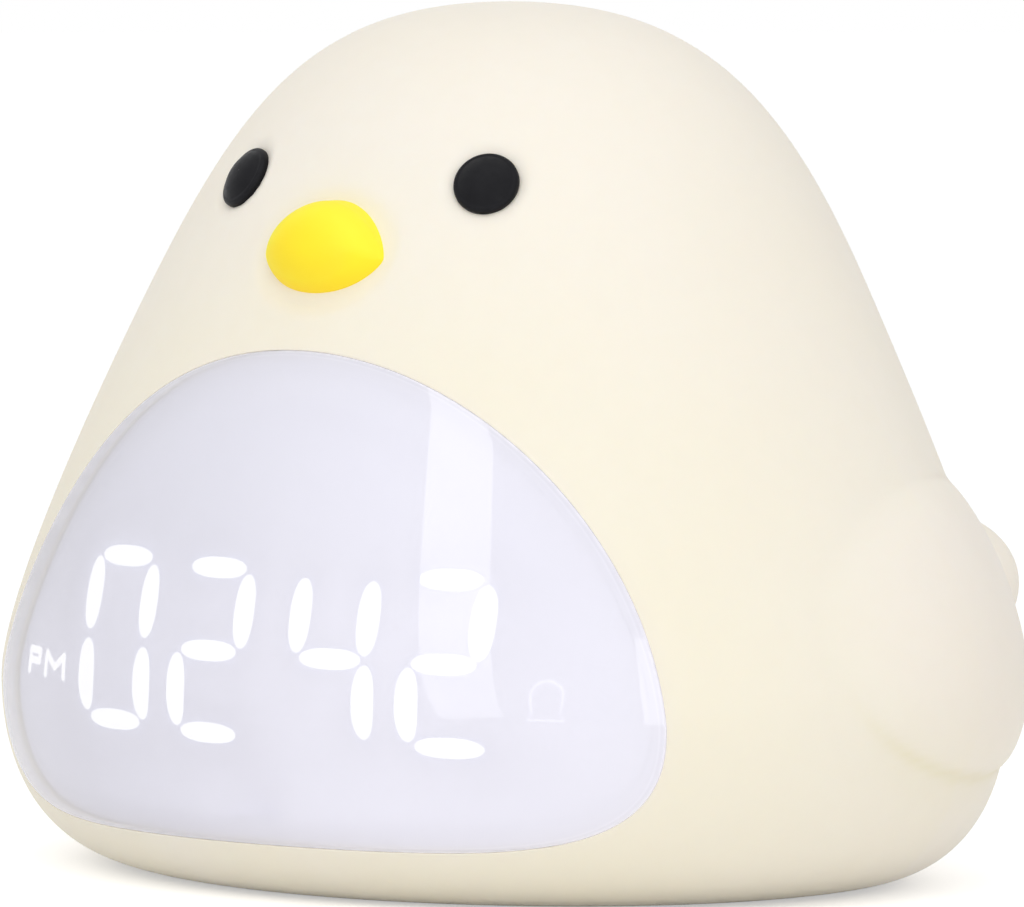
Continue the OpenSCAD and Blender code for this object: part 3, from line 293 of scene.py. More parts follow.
def window_outline(inset=0.0, n=2400):
    """A superellipse of its own powers above and below the widest line."""
    a = (np.arange(n) + 0.5) * 2 * math.pi / n
    upper = a < math.pi
    c, s = np.cos(a), np.sin(a)
    rise = np.where(upper, WINDOW_TOP - inset - WINDOW_WIDE_Z, WINDOW_WIDE_Z - WINDOW_BOTTOM - inset)
    pz = np.where(upper, WINDOW_UPPER[0], WINDOW_LOWER[0])
    px = np.where(upper, WINDOW_UPPER[1], WINDOW_LOWER[1])
    half = WINDOW_W / 2 - inset
    x, z = np.sign(c) * half * np.abs(c) ** px, np.sign(s) * rise * np.abs(s) ** pz
    return np.stack([x, WINDOW_WIDE_Z + z], -1)


def panel_outline(grow):
    w, h, r = PANEL_W / 2 + grow, PANEL_H / 2 + grow, PANEL_R + grow
    points = []
    for cx, cz, a0 in ((1, 1, 0), (-1, 1, 90), (-1, -1, 180), (1, -1, 270)):
        for a in np.radians(np.linspace(a0, a0 + 90, 24)):
            points.append((cx * (w - r) + r * math.cos(a), PANEL_Z + cz * (h - r) + r * math.sin(a)))
    return np.array(points)


TOP_T = 2.9  # the sleeve's rings end here, and its crown begins
FOOT_T = float(np.interp(BODY_W / 2 * FOOT_SHARE + FOOT_EDGE,
                         BODY_W / 2 * along(spans(SIDE_BEND), MERIDIAN[:1000]), MERIDIAN[:1000]))


def side_samples(n):
    """Surface parameters spread evenly along the side, from the foot up."""
    t = np.linspace(FOOT_T, TOP_T, 2000)
    p = body_point(np.zeros_like(t), t)
    run = np.concatenate([[0], np.cumsum(np.linalg.norm(np.diff(p, axis=0), axis=1))])
    return np.interp(np.linspace(0, run[-1], n + 1), run, t)


def sleeve_half(shape, outline, centre, counts, front):
    """One half of the sleeve: rings from the opening's lip out to the half's own borders."""
    far_rings, k = 60, 5  # every k-th point is on the inner surface too
    loop = spread(outline, counts, centre)
    a0, t0 = place(loop[:, 0], loop[:, 1], front)
    edge = body_point(a0, t0)
    n = outward(a0, t0)
    run = np.roll(edge, -1, 0) - np.roll(edge, 1, 0)
    side = np.cross(run, n)
    side /= np.linalg.norm(side, axis=1, keepdims=True)
    side *= np.sign(np.sum(side * (edge - edge.mean(0)), 1).mean())

    def moved(d):
        q = edge + side * d
        t = t_at(q[:, 2])
        x, y = reach(a0, t)
        a = np.arctan2(q[:, 1] / y, q[:, 0] / x) % (2 * math.pi)
        return np.array([np.where(a < math.pi / 2, a + 2 * math.pi, a) if front else a, t])

    lip = 0.22 if front else 0.45
    low = at_depth(loop[:, 0], loop[:, 1], lip, front)
    high = surface(*moved(lip))
    rows = [shape.row(at_depth(loop[:, 0], loop[:, 1], d, front)) for d in (SKIN_T, SKIN_T * 0.55)]
    for u in (0, 0.15, 0.3, 0.43, 0.57, 0.7, 0.85, 1):
        rows.append(shape.row(low * (1 - u) ** 2 + 2 * edge * u * (1 - u) + high * u * u))
    for d in (0.4, 0.8, 1.5, 2.6):
        near = moved(d)
        rows.append(shape.row(surface(*near)))
    t_side = side_samples(counts[0])
    right, left = (2 * math.pi if front else 0.0), math.pi
    top, low_count = counts[1], counts[3]
    over, under = np.arange(top) / top, np.arange(low_count) / low_count
    border = np.array([
        np.concatenate([np.full(counts[0], right), right + (left - right) * over,
                        np.full(counts[2], left), left + (right - left) * under]),
        np.concatenate([t_side[:-1], np.full(top, TOP_T), t_side[:0:-1], np.full(low_count, FOOT_T)]),
    ])
    for s in np.arange(1, far_rings + 1) / far_rings:
        rows.append(shape.row(surface(*(near + (border - near) * s))))
    shape.bands(rows)
    # the inner surface, with fewer points
    inner = []
    start = moved(0.6)
    for s in np.linspace(0, 1, far_rings // 6 + 1):
        a, t = (start + (border - start) * s)[:, ::k]
        inner.append(shape.row(body_point(a, t) - outward(a, t) * SKIN_T))
    shape.bands(inner)
    shape.step_down(rows[0], inner[0])
    bottom = slice(counts[0] + top + counts[2], None)
    foot = np.append(rows[-1][bottom], rows[-1][0])
    crown = np.append(rows[-1][counts[0]:counts[0] + top], rows[-1][counts[0] + top])
    inner_foot = np.append(inner[-1][(counts[0] + top + counts[2]) // k:], inner[-1][0])
    inner_crown = inner[-1][counts[0] // k:(counts[0] + top) // k + 1]
    return foot, inner_foot, crown, inner_crown


def make_sleeve():
    """The front half has the window's hole, and the back half the panel's."""
    shape = Shape()
    parts = [
        sleeve_half(shape, window_outline(-HOLE_GAP), WINDOW_HUB, (150, 150, 150, 200), True),
        sleeve_half(shape, panel_outline(PANEL_GAP), (0, PANEL_Z), (150, 120, 150, 120), False),
    ]
    for k, (foot, inner_foot, crown, inner_crown) in enumerate(parts):
        # the crown
        right = 2 * math.pi if k == 0 else 0.0
        n = len(crown) - 1
        a = right + (math.pi - right) * np.arange(n + 1) / n
        rows = [crown] + [shape.row(surface(a, np.full(n + 1, t))) for t in (2.93, 2.955, 2.975)]
        shape.bands(rows, closed=False)
        for edge, z in ((rows[-1], BODY_H), (inner_crown, BODY_H - SKIN_T)):
            tip = shape.row([(0, 0, z)])[0]
            shape.faces += [(edge[i], edge[i + 1], tip) for i in range(len(edge) - 1)]
        # the wall of the foot hole
        rim = np.concatenate(shape.points)[foot]
        wall = [foot] + [shape.row(rim + [0, 0, h]) for h in (0.15, 1.2)]
        shape.bands(wall, closed=False)
        step = (len(foot) - 1) // (len(inner_foot) - 1)
        for i in range(len(inner_foot) - 1):
            run = [wall[-1][i * step + j] for j in range(step + 1)]
            shape.faces.append(tuple(run + [inner_foot[i + 1], inner_foot[i]]))
    return shape


def window_ring(inset):
    return spread(window_outline(inset), (RING_POINTS // 4,) * 4)


def belly_ring(outer, inner, front_depth, back_depth, steps):
    """A flat closed ring that follows the belly between two outlines."""
    shape = Shape()
    insets = np.linspace(outer, inner, steps)
    rows = []
    for depth, run in ((front_depth, insets), (back_depth, insets[::-1])):
        for inset in run:
            x, z = window_ring(inset).T
            rows.append(shape.row(at_depth(x, z, depth)))
    shape.bands(rows + rows[:1])
    return shape


def belly_sheet(inset, front_depth, back_depth, edge_r, rings, coarse_rings, deepen, steps=()):
    """A closed sheet that follows the belly between two depths, with rounded edges."""
    shape = Shape()
    centre = np.array([0.0, 30.0])
    loop, small = window_ring(inset), window_ring(inset + edge_r)

    def edge(depth_wall, depth_face):
        wall = at_depth(loop[:, 0], loop[:, 1], depth_wall)
        corner = at_depth(loop[:, 0], loop[:, 1], depth_face)
        face = at_depth(small[:, 0], small[:, 1], depth_face)
        shares = (0, 0.2, 0.4, 0.6, 0.8, 1)
        return [wall * (1 - u) ** 2 + 2 * corner * u * (1 - u) + face * u * u for u in shares]

    rows = [shape.row(r) for r in edge(back_depth - edge_r, back_depth)[::-1]]
    rows += [shape.row(r) for r in edge(front_depth + edge_r, front_depth)]
    front = [rows[-1]]
    for step in steps:
        small = window_ring(inset + edge_r + step)
        front.append(shape.row(at_depth(small[:, 0], small[:, 1], front_depth)))
    for s in np.linspace(1, 0, rings + 1)[1:-1]:
        x, z = (centre + (small - centre) * s).T
        front.append(shape.row(at_depth(x, z, front_depth + deepen(x, z, s))))
    back = [rows[0]]
    for s in np.linspace(1, 0, coarse_rings + 1)[1:-1]:
        x, z = (centre + (small - centre) * s).T
        back.append(shape.row(at_depth(x, z, back_depth)))
    for run in (rows, front, back):
        shape.bands(run)
    for ring, depth in ((front[-1], front_depth + deepen(*centre, 0.0)), (back[-1], back_depth)):
        shape.fan(ring, at_depth(centre[:1], centre[1:], depth)[0])
    return shape


def outline_distance(x, z, n=900):
    """Distance from the window's outline, in the plane of x and z."""
    best = np.full(np.shape(x), 1e3)
    for q in window_outline(0, n):
        best = np.minimum(best, np.hypot(x - q[0], z - q[1]))
    return best


def display_dip(x, z, share=0.0):
    """The display is flatter and more upright than the belly, so it lies deepest low in the middle."""
    middle = (MASK_DEEP - MASK_RIM) * np.maximum(0, 1 - (x / 29.0) ** 2)
    lean = MASK_LEAN * np.clip(DISPLAY_Z - z, -10.5, 10.5) * smooth((40 - np.abs(x)) / 8)
    inside = outline_distance(x, z) - MASK_INSET
    return (MASK_RIM - MASK_EDGE + middle) * smooth(inside / 7) + lean * smooth(inside / 4)


def lens_dip(x, z, share):
    """The window is flush with the sleeve at its rim and a little lower inside."""
    return 0.35 * (1 - share ** 2)


def on_display(x, z, h):
    """The point at x and height z that stands out of the display by h."""
    return at_depth(x, z, MASK_EDGE + display_dip(x, z) - h)


def circle(n):
    """Directions spread evenly round a circle."""
    return np.arange(n) * 2 * math.pi / n


def lathe(profile, steps, frame_at):
    """A turned piece: profile is (radius, height) from one pole to the other."""
    shape = Shape()
    origin, u, v, w = frame_at
    angle = circle(steps)[:, None]
    ring = np.cos(angle) * u + np.sin(angle) * v
    rows = [shape.row(origin + ring * r + w * h) for r, h in profile[1:-1]]
    shape.bands(rows)
    shape.fan(rows[0], origin + w * profile[0][1])
    shape.fan(rows[-1], origin + w * profile[-1][1])
    return shape


def quarter_round(r, top, edge, steps):
    """The points of a rounded rim, from a wall of this radius up to a flat top."""
    turn = [k / steps * math.pi / 2 for k in range(1, steps + 1)]
    return [(r - edge * (1 - math.cos(a)), top - edge + edge * math.sin(a)) for a in turn]


def face_frame(x, z):
    """A point of the face, the directions across and up there, and the way out."""
    a, t = place(np.array([x]), np.array([z]))
    w = outward(a, t)[0]
    u = np.cross([0, 0, 1.0], w)
    u /= np.linalg.norm(u)
    return body_point(a, t)[0], u, np.cross(w, u), w


# ---- digits

# a digit's strokes: place across and up, in half widths and half heights, and whether upright
STROKES = [(0, 1, False), (1, 0.5, True), (1, -0.5, True), (0, -1, False),
           (-1, -0.5, True), (-1, 0.5, True), (0, 0, False)]
SHOWN = [(0, 1, 2, 3, 4, 5), (0, 1, 3, 4, 6), (1, 2, 5, 6), (0, 1, 3, 4, 6)]
DIGIT_XS = [-PAIR_GAP / 2 - DIGIT_PITCH, -PAIR_GAP / 2, PAIR_GAP / 2, PAIR_GAP / 2 + DIGIT_PITCH]


def bent(x, z):
    """Where a point of the flat film comes to lie: the film curves less than the belly does."""
    right = np.clip((x - 4) / 26.5, 0, 1) ** 1.7
    left = np.clip((-21 - x) / 9, 0, 1)
    high = np.clip((z - DISPLAY_Z) / DIGIT_H + 0.5, 0, 1)
    rise = 0.9 * np.clip((-8 - x) / 22, 0, 1) ** 1.3
    return np.array([x - right * (0.4 + 2.4 * high - 0.8 * high ** 2) - 0.75 * left, z + rise - 0.15])


def strokes():
    """Every lit stroke's middle, whether it is upright, and half its length."""
    for x0, shown in zip(DIGIT_XS, SHOWN):
        for sx, sz, upright in (STROKES[k] for k in shown):
            x, z = DISPLAY_X + x0 + sx * DIGIT_W / 2, DISPLAY_Z + sz * DIGIT_H / 2
            half = (DIGIT_H / 2 if upright else DIGIT_W) / 2 - STROKE_GAP / 2
            middle = bent(x, z)
            if not upright:
                ends = bent(x - half, z), bent(x + half, z)
                middle, half = (ends[0] + ends[1]) / 2, (ends[1] - ends[0])[0] / 2
            yield middle, upright, half


def leaf(upright, half):
    """A stroke's outline: blunt, softly pointed ends and full sides."""
    c, s = np.cos(circle(40)), np.sin(circle(40))
    along_axis = half * np.sign(c) * np.abs(c) ** 0.8
    across = (UPRIGHT_W if upright else STROKE_W) / 2 * np.sign(s) * np.abs(s) ** 0.95
    return np.stack([across, along_axis] if upright else [along_axis, across], -1)


def film(shape, middle, outline, proud, deep):
    """A thin domed patch on the display, round a middle point."""
    rows = []
    for share, h in ((0.5, -deep), (1, -deep), (1, proud - 0.06), (0.94, proud - 0.015),
                     (0.84, proud), (0.65, proud), (0.35, proud)):
        x, z = (middle + outline * share).T
        rows.append(shape.row(on_display(x, z, h)))
    shape.bands(rows)
    for ring, h in ((rows[0], -deep), (rows[-1], proud)):
        x, z = middle[:1], middle[1:]
        shape.fan(ring, on_display(x, z, h)[0])


def lit_strokes():
    shape = Shape()
    for middle, upright, half in strokes():
        film(shape, middle, leaf(upright, half), 0.06, 0.5)
    return shape


def round_bar(run, wide):
    """The outline of a round-ended bar along a line, from the line's middle."""
    turn = circle(20)
    length = math.hypot(*run)
    u = np.array(run) / length if length else np.array([1.0, 0.0])
    ends = np.where(np.cos(turn) > 0, length / 2, -length / 2) + wide / 2 * np.cos(turn)
    return ends[:, None] * u + (wide / 2 * np.sin(turn))[:, None] * np.array([-u[1], u[0]])


def letters():
    """The letters P and M as round-ended bars."""
    p, m = MARK_H * 1.2, MARK_H * 2
    shift = MARK_H * 2.1
    bars = [((0, 0), (0, 1)), ((0, 1), (p, 1)), ((p, 1), (p, 0.5)), ((p, 0.5), (0, 0.5)),
            ((shift, 0), (shift, 1)), ((shift, 1), (shift + m / 2, 0.4)),
            ((shift + m / 2, 0.4), (shift + m, 1)), ((shift + m, 1), (shift + m, 0))]
    shape = Shape()
    for (x0, h0), (x1, h1) in bars:
        a = np.array([PM_X + x0, PM_Z + (h0 - 0.5) * MARK_H])
        b = np.array([PM_X + x1, PM_Z + (h1 - 0.5) * MARK_H])
        film(shape, (a + b) / 2, round_bar(b - a, MARK_STROKE), 0.1, 0.05)
    return shape


def bell():
    """The alarm mark: a thin outline of a bell on its rim."""
    turn = np.radians(np.linspace(0, 180, 30))
    dome = np.stack([0.37 * np.cos(turn), 0.12 + 0.37 * np.sin(turn)], -1)
    side = np.array([(0.36, -0.1), (0.31, -0.33), (0.41, -0.45), (0.41, -0.5)])
    line = np.vstack([dome, side * (-1, 1), side[::-1]]) * BELL_H
    shape = Shape()
    rows = []
    for share, h in ((1, -0.05), (1, 0.06), (0.985, 0.08), (0.9, 0.08), (0.88, 0.06), (0.88, -0.05)):
        x, z = (line * share + [BELL_X, BELL_Z]).T
        rows.append(shape.row(on_display(x, z, h)))
    shape.bands(rows + rows[:1])
    return shape


def stroke_distance(x, z):
    """Distance from the nearest lit stroke's middle line, less its half width."""
    best = np.full(len(x), 1e3)
    for (cx, cz), upright, half in strokes():
        straight = half - STROKE_W / 2
        dx, dz = np.abs(x - cx), np.abs(z - cz)
        long, across = (dz, dx) if upright else (dx, dz)
        best = np.minimum(best, np.hypot(np.maximum(long - straight, 0), across) - STROKE_W / 2)
    return best


# ---- materials


class Nodes:
    """The node tree of a material, a lamp or the world, started empty."""

    def __init__(self, owner):
        owner.use_nodes = True
        self.tree = owner.node_tree
        self.tree.nodes.clear()

    def put(self, socket, value):
        if isinstance(value, bpy.types.NodeSocket):
            self.tree.links.new(value, socket)
        else:
            socket.default_value = value

    def add(self, kind, settings=None, **sockets):
        node = self.tree.nodes.new(kind)
        for key, value in (settings or {}).items():
            setattr(node, key, value)
        for key, value in sockets.items():
            self.put(node.inputs[key.replace("_", " ")], value)
        return node

    def background_rays(self):
        """1 for camera, glossy and transmission rays."""
        path = self.add("ShaderNodeLightPath")
        total = path.outputs["Is Camera Ray"]
        for name in ("Is Glossy Ray", "Is Transmission Ray"):
            top = self.add("ShaderNodeMath", {"operation": "MAXIMUM"})
            self.put(top.inputs[0], total)
            self.put(top.inputs[1], path.outputs[name])
            total = top.outputs[0]
        return total


class Finish(Nodes):
    """A node material round one Principled shader."""

    def __init__(self, name, **sockets):
        self.material = bpy.data.materials.new(name)
        super().__init__(self.material)
        self.shader = self.add("ShaderNodeBsdfPrincipled", **sockets)
        self.add("ShaderNodeOutputMaterial", Surface=self.shader.outputs["BSDF"])
        self.coords = self.add("ShaderNodeTexCoord").outputs["Object"]

    def texture(self, kind, per_mm, stretch=(1, 1, 1), settings=None, **sockets):
        """A texture node on the object's own coordinates, with this many units to the millimetre."""
        scale = [s * per_mm / MM for s in stretch]
        mapping = self.add("ShaderNodeMapping", Vector=self.coords, Scale=scale)
        return self.add(kind, settings, Vector=mapping.outputs["Vector"], Scale=1.0, **sockets)

    def noise(self, per_mm, detail=3.0, rough=0.5, stretch=(1, 1, 1)):
        node = self.texture("ShaderNodeTexNoise", per_mm, stretch, Detail=detail, Roughness=rough)
        return node.outputs["Fac"]

    def cells(self, per_mm, feature="F1", stretch=(1, 1, 1)):
        node = self.texture("ShaderNodeTexVoronoi", per_mm, stretch, {"feature": feature})
        return node.outputs["Distance"]

    def band(self, value, low, high, to_low=0.0, to_high=1.0):
        """The value spread from one range to another."""
        node = self.add("ShaderNodeMapRange", Value=value, From_Min=low, From_Max=high,
                        To_Min=to_low, To_Max=to_high)
        return node.outputs["Result"]

    def mix(self, factor, a, b, mode="MIX"):
        node = self.add("ShaderNodeMix", {"data_type": "RGBA", "blend_type": mode})
        for index, value in ((0, factor), (6, a), (7, b)):  # its sockets for colours
            self.put(node.inputs[index], value)
        return node.outputs[2]

    def colour(self, value):
        self.put(self.shader.inputs["Base Color"], value)

    def rough(self, value):
        self.put(self.shader.inputs["Roughness"], value)

    def relief(self, height, strength, distance_mm):
        bump = self.add("ShaderNodeBump", Height=height, Strength=strength, Distance=distance_mm * MM)
        self.put(self.shader.inputs["Normal"], bump.outputs["Normal"])

    def shade(self):
        """The colour that build() stored on the mesh's points."""
        return self.add("ShaderNodeAttribute", {"attribute_name": "shade"}).outputs["Color"]

    def glow(self, colour, strength):
        self.put(self.shader.inputs["Emission Color"], colour)
        self.put(self.shader.inputs["Emission Strength"], strength)


def linear(r, g, b, share=1.0):
    """A screen colour as the shader's linear colour, with a share of its light."""
    parts = [v / 255 for v in (r, g, b)]
    out = [(v / 12.92 if v <= 0.0404 else ((v + 0.055) / 1.055) ** 2.4) * share for v in parts]
    return (*out, 1.0)


# colour, roughness, the tone's variation, and as needed grains to the mm, bump and stretch
MOULDED = {
    "milky_shell": ((240, 238, 232), 0.5, 0.03, 1.2, 0.08),
    "cream_plastic": ((238, 230, 214), 0.5, 0.03, 2.4, 0.2),
    "foot_rubber": ((206, 202, 194), 0.75, 0.06, 2.0, 0.3),
    "white_plastic": ((240, 240, 238), 0.42, 0.03),
    "grey_plastic": ((120, 122, 126), 0.5, 0.05),
    "dark_plastic": ((52, 53, 58), 0.48, 0.08, 2.0, 0.2),
    "button_plastic": ((246, 239, 222), 0.45, 0.02, 2.4, 0.12),
    "connector": ((236, 232, 220), 0.5, 0.04),
    "chip_black": ((34, 34, 37), 0.55, 0.1, 3.0, 0.2),
    "screw_steel": ((186, 188, 192), 0.32, 0.06, 2.0, 0.1, (1, 1, 4)),
    "can_steel": ((196, 198, 202), 0.26, 0.05, 1.5, 0.08, (4, 1, 1)),
    "speaker_frame": ((150, 152, 156), 0.38, 0.06, 1.2, 0.1),
    "red_wire": ((196, 50, 42), 0.4, 0.06),
    "black_wire": ((36, 36, 38), 0.4, 0.08),
    "white_wire": ((228, 225, 215), 0.42, 0.04),
}
# what they have besides
SOCKETS = {
    "milky_shell": {"Transmission_Weight": 0.12},
    "screw_steel": {"Metallic": 1.0},
    "can_steel": {"Metallic": 1.0},
    "speaker_frame": {"Metallic": 0.9},
}


def moulded(name, rgb, rough, vary, grain=1.6, bump=0.12, stretch=(1, 1, 1)):
    """Moulded plastic, rubber or metal: cloudy tone, fine grain and uneven gloss."""
    f = Finish(name, **SOCKETS.get(name, {}))
    cloud = f.noise(0.09, 4.0, 0.6, stretch)
    grain_value = f.noise(grain, 2.0, 0.5, stretch)
    base = f.mix(f.band(cloud, 0.3, 0.7), linear(*rgb, 1 - vary), linear(*rgb))
    f.colour(f.mix(f.band(grain_value, 0.35, 0.65, 0, 0.35), base, linear(*rgb, 1 - 1.5 * vary)))
    f.rough(f.band(f.noise(0.5, 3.0), 0.3, 0.7, rough - 0.05, rough + 0.06))
    f.relief(grain_value, bump, 0.05)
    return f.material


def silicone():
    """Matt silicone: fine skin texture, soft light under the surface, a few specks of dust."""
    f = Finish("sleeve", IOR=1.41, Subsurface_Weight=0.12, Subsurface_Scale=0.004,
               Subsurface_Radius=(1.0, 0.75, 0.5), Sheen_Weight=0.04, Sheen_Roughness=0.5,
               Specular_IOR_Level=0.35)
    cloud = f.noise(0.018, 3.0, 0.55)
    fine = f.noise(0.35, 4.0, 0.6)
    base = f.mix(f.band(cloud, 0.35, 0.65), linear(251, 244, 233), linear(251, 243, 228))
    base = f.mix(f.band(fine, 0.3, 0.7, 0, 0.3), base, linear(248, 240, 226))
    base = f.mix(1.0, base, f.shade(), "MULTIPLY")
    speck = f.band(f.cells(0.06), 0.012, 0.02, 0.18, 0)
    f.colour(f.mix(speck, base, linear(170, 160, 145)))
    f.rough(f.band(f.noise(0.12, 3.0), 0.3, 0.7, 0.5, 0.6))
    f.relief(f.noise(2.2, 2.0, 0.6), 0.08, 0.04)
    return f.material


def beak_finish():
    f = Finish("beak_yellow", IOR=1.41, Subsurface_Weight=0.1, Subsurface_Scale=0.002,
               Subsurface_Radius=(1.0, 0.8, 0.2), Specular_IOR_Level=0.3)
    cloud = f.noise(0.12, 3.0)
    base = f.mix(f.band(cloud, 0.3, 0.7), linear(255, 250, 63), linear(255, 247, 56))
    f.colour(f.mix(1.0, base, f.shade(), "MULTIPLY"))
    # painted light: a faint orange glow keeps its red high in the shade
    f.glow(linear(255, 60, 0), 0.08)
    f.rough(f.band(f.noise(0.5), 0.3, 0.7, 0.5, 0.6))
    f.relief(f.noise(2.4, 2.0), 0.1, 0.04)
    return f.material


def eye_finish():
    f = Finish("eye_black", Specular_IOR_Level=0.14)
    base = f.mix(f.band(f.noise(0.5, 3.0), 0.3, 0.7), linear(16, 16, 20), linear(22, 22, 26))
    lint = f.band(f.cells(0.75, "F1", (1, 1, 0.35)), 0.02, 0.05, 0.35, 0)
    f.colour(f.mix(lint, base, linear(150, 150, 155)))
    f.rough(f.band(f.noise(1.5), 0.3, 0.7, 0.42, 0.54))
    f.relief(f.noise(3.0, 2.0), 0.12, 0.03)
    return f.material


def window_finish(name, veil):
    """Glossy smoked-white acrylic: it veils what lies behind it and mirrors the room."""
    f = Finish(name, IOR=1.75, Roughness=0.03, Alpha=veil)
    cloud = f.noise(0.012, 2.0)
    f.colour(f.mix(f.band(cloud, 0.35, 0.65), linear(241, 241, 249), linear(244, 243, 251)))
    # painted light: the glow stored on the mesh, bright lines at the window's edge and bevel
    f.glow(f.shade(), 1.0)
    f.rough(f.band(f.noise(0.05, 2.0), 0.3, 0.7, 0.01, 0.02))
    f.relief(f.noise(0.03, 1.0), 0.03, 0.08)
    return f.material


def mask_finish(name, lit=None):
    """The satin film behind the lens; its glow is painted light, as if the display lit it a little from
    behind.
    """
    f = Finish(name, Specular_IOR_Level=0.2)
    cloud = f.noise(0.03, 2.0)
    f.colour(f.mix(f.band(cloud, 0.3, 0.7), linear(238, 237, 248), linear(242, 241, 251)))
    f.rough(f.band(f.noise(0.6), 0.3, 0.7, 0.5, 0.62))
    f.relief(f.noise(2.0), 0.05, 0.03)
    f.glow((lit, lit, lit * 1.1, 1) if lit else f.shade(), 1.0)
    return f.material


def lit_finish():
    f = Finish("lit", Specular_IOR_Level=0.1)
    film = f.band(f.noise(0.8, 3.0), 0.3, 0.7, 0.97, 1.0)
    tone = f.mix(film, linear(225, 226, 255), linear(255, 255, 255))
    f.colour(f.mix(film, linear(110, 110, 118), linear(120, 120, 128)))
    f.glow(tone, 1.1)
    return f.material


def lamp_finish():
    f = Finish("lamp", Specular_IOR_Level=0.4)
    f.colour(f.mix(f.band(f.cells(0.5), 0.2, 0.6), linear(252, 224, 120), linear(240, 238, 226)))
    f.rough(f.band(f.noise(1.0), 0.3, 0.7, 0.2, 0.35))
    return f.material


def board_finish(name, ground, track):
    f = Finish(name)
    paler, darker = ([v * k for v in ground] for k in (0.96, 0.85))
    brick = f.texture("ShaderNodeTexBrick", 0.18, Mortar_Size=0.03, Color1=linear(*ground),
                      Color2=linear(*paler), Mortar=linear(*track))
    stain = f.band(f.noise(0.8), 0.35, 0.65, 0, 0.3)
    f.colour(f.mix(stain, brick.outputs["Color"], linear(*darker)))
    f.rough(f.band(f.noise(1.0), 0.3, 0.7, 0.3, 0.42))
    f.relief(brick.outputs["Fac"], 0.2, 0.04)
    return f.material


def ribbon_finish():
    f = Finish("ribbon")
    look = {"wave_type": "BANDS", "bands_direction": "X"}
    wave = f.texture("ShaderNodeTexWave", 0.32, settings=look)
    f.colour(f.mix(f.band(wave.outputs["Fac"], 0.4, 0.6), linear(228, 226, 220), linear(176, 178, 182)))
    f.rough(f.band(f.noise(1.0), 0.3, 0.7, 0.3, 0.4))
    f.relief(wave.outputs["Fac"], 0.2, 0.05)
    return f.material


def cell_finish():
    f = Finish("cell_sleeve", Coat_Weight=0.3, Coat_Roughness=0.2)
    f.colour(f.mix(f.band(f.noise(0.15, 3.0), 0.3, 0.7), linear(60, 132, 176), linear(70, 146, 190)))
    f.rough(f.band(f.noise(0.7), 0.3, 0.7, 0.25, 0.4))
    f.relief(f.noise(0.5, 3.0, 0.5, (0.3, 1, 1)), 0.25, 0.08)
    return f.material


def paper_finish():
    f = Finish("speaker_paper", Specular_IOR_Level=0.2)
    fibre = f.noise(1.2, 6.0, 0.7, (3, 1, 1))
    f.colour(f.mix(f.band(fibre, 0.35, 0.65), linear(34, 34, 36), linear(52, 51, 52)))
    f.rough(f.band(fibre, 0.3, 0.7, 0.8, 0.95))
    f.relief(fibre, 0.5, 0.1)
    return f.material


def foam_finish():
    f = Finish("gasket_foam", Specular_IOR_Level=0.2)
    pores = f.cells(2.2)
    f.colour(f.mix(f.band(pores, 0.1, 0.5), linear(52, 52, 55), linear(84, 84, 88)))
    f.rough(f.band(pores, 0, 0.6, 0.8, 0.95))
    f.relief(pores, 0.7, 0.2)
    return f.material


def foil_finish():
    f = Finish("copper_foil", Metallic=1.0)
    creases = f.cells(0.35, "DISTANCE_TO_EDGE")
    f.colour(f.mix(f.band(f.noise(0.4, 4.0), 0.3, 0.7), linear(206, 132, 92), linear(226, 158, 118)))
    f.rough(f.band(f.noise(1.0), 0.3, 0.7, 0.25, 0.4))
    f.relief(f.band(creases, 0, 0.08), 0.3, 0.08)
    return f.material


MATERIALS = {name: moulded(name, *look) for name, look in MOULDED.items()}
MATERIALS.update({
    "sleeve": silicone(),
    "beak_yellow": beak_finish(),
    "eye_black": eye_finish(),
    "window": window_finish("window", 0.56),
    "window_back": window_finish("window_back", 0.03),
    "mask": mask_finish("mask"),
    "tape": mask_finish("tape"),
    # painted light: the unlit marks glow a little, so the bell's outline shows
    "unlit": mask_finish("unlit", 0.36),
    "lit": lit_finish(),
    "lamp": lamp_finish(),
    "copper_foil": foil_finish(),
    "green_board": board_finish("green_board", (38, 106, 66), (58, 138, 88)),
    "white_board": board_finish("white_board", (232, 232, 226), (214, 216, 214)),
    "ribbon": ribbon_finish(),
    "cell_sleeve": cell_finish(),
    "speaker_paper": paper_finish(),
    "gasket_foam": foam_finish(),
})


def dress(piece, slot, *nodes):
    """Gives a new piece its finish, and hides the CAD nodes that it stands for."""
    piece.data.materials.append(MATERIALS[slot])
    if nodes:
        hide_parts(*nodes)
    return piece


for sub in frame["record"]["subparts"]:
    part = frame["nodes"][sub["node"]]
    part.data.materials.clear()
    part.data.materials.append(MATERIALS[sub["material_slot"]])

# ---- sleeve


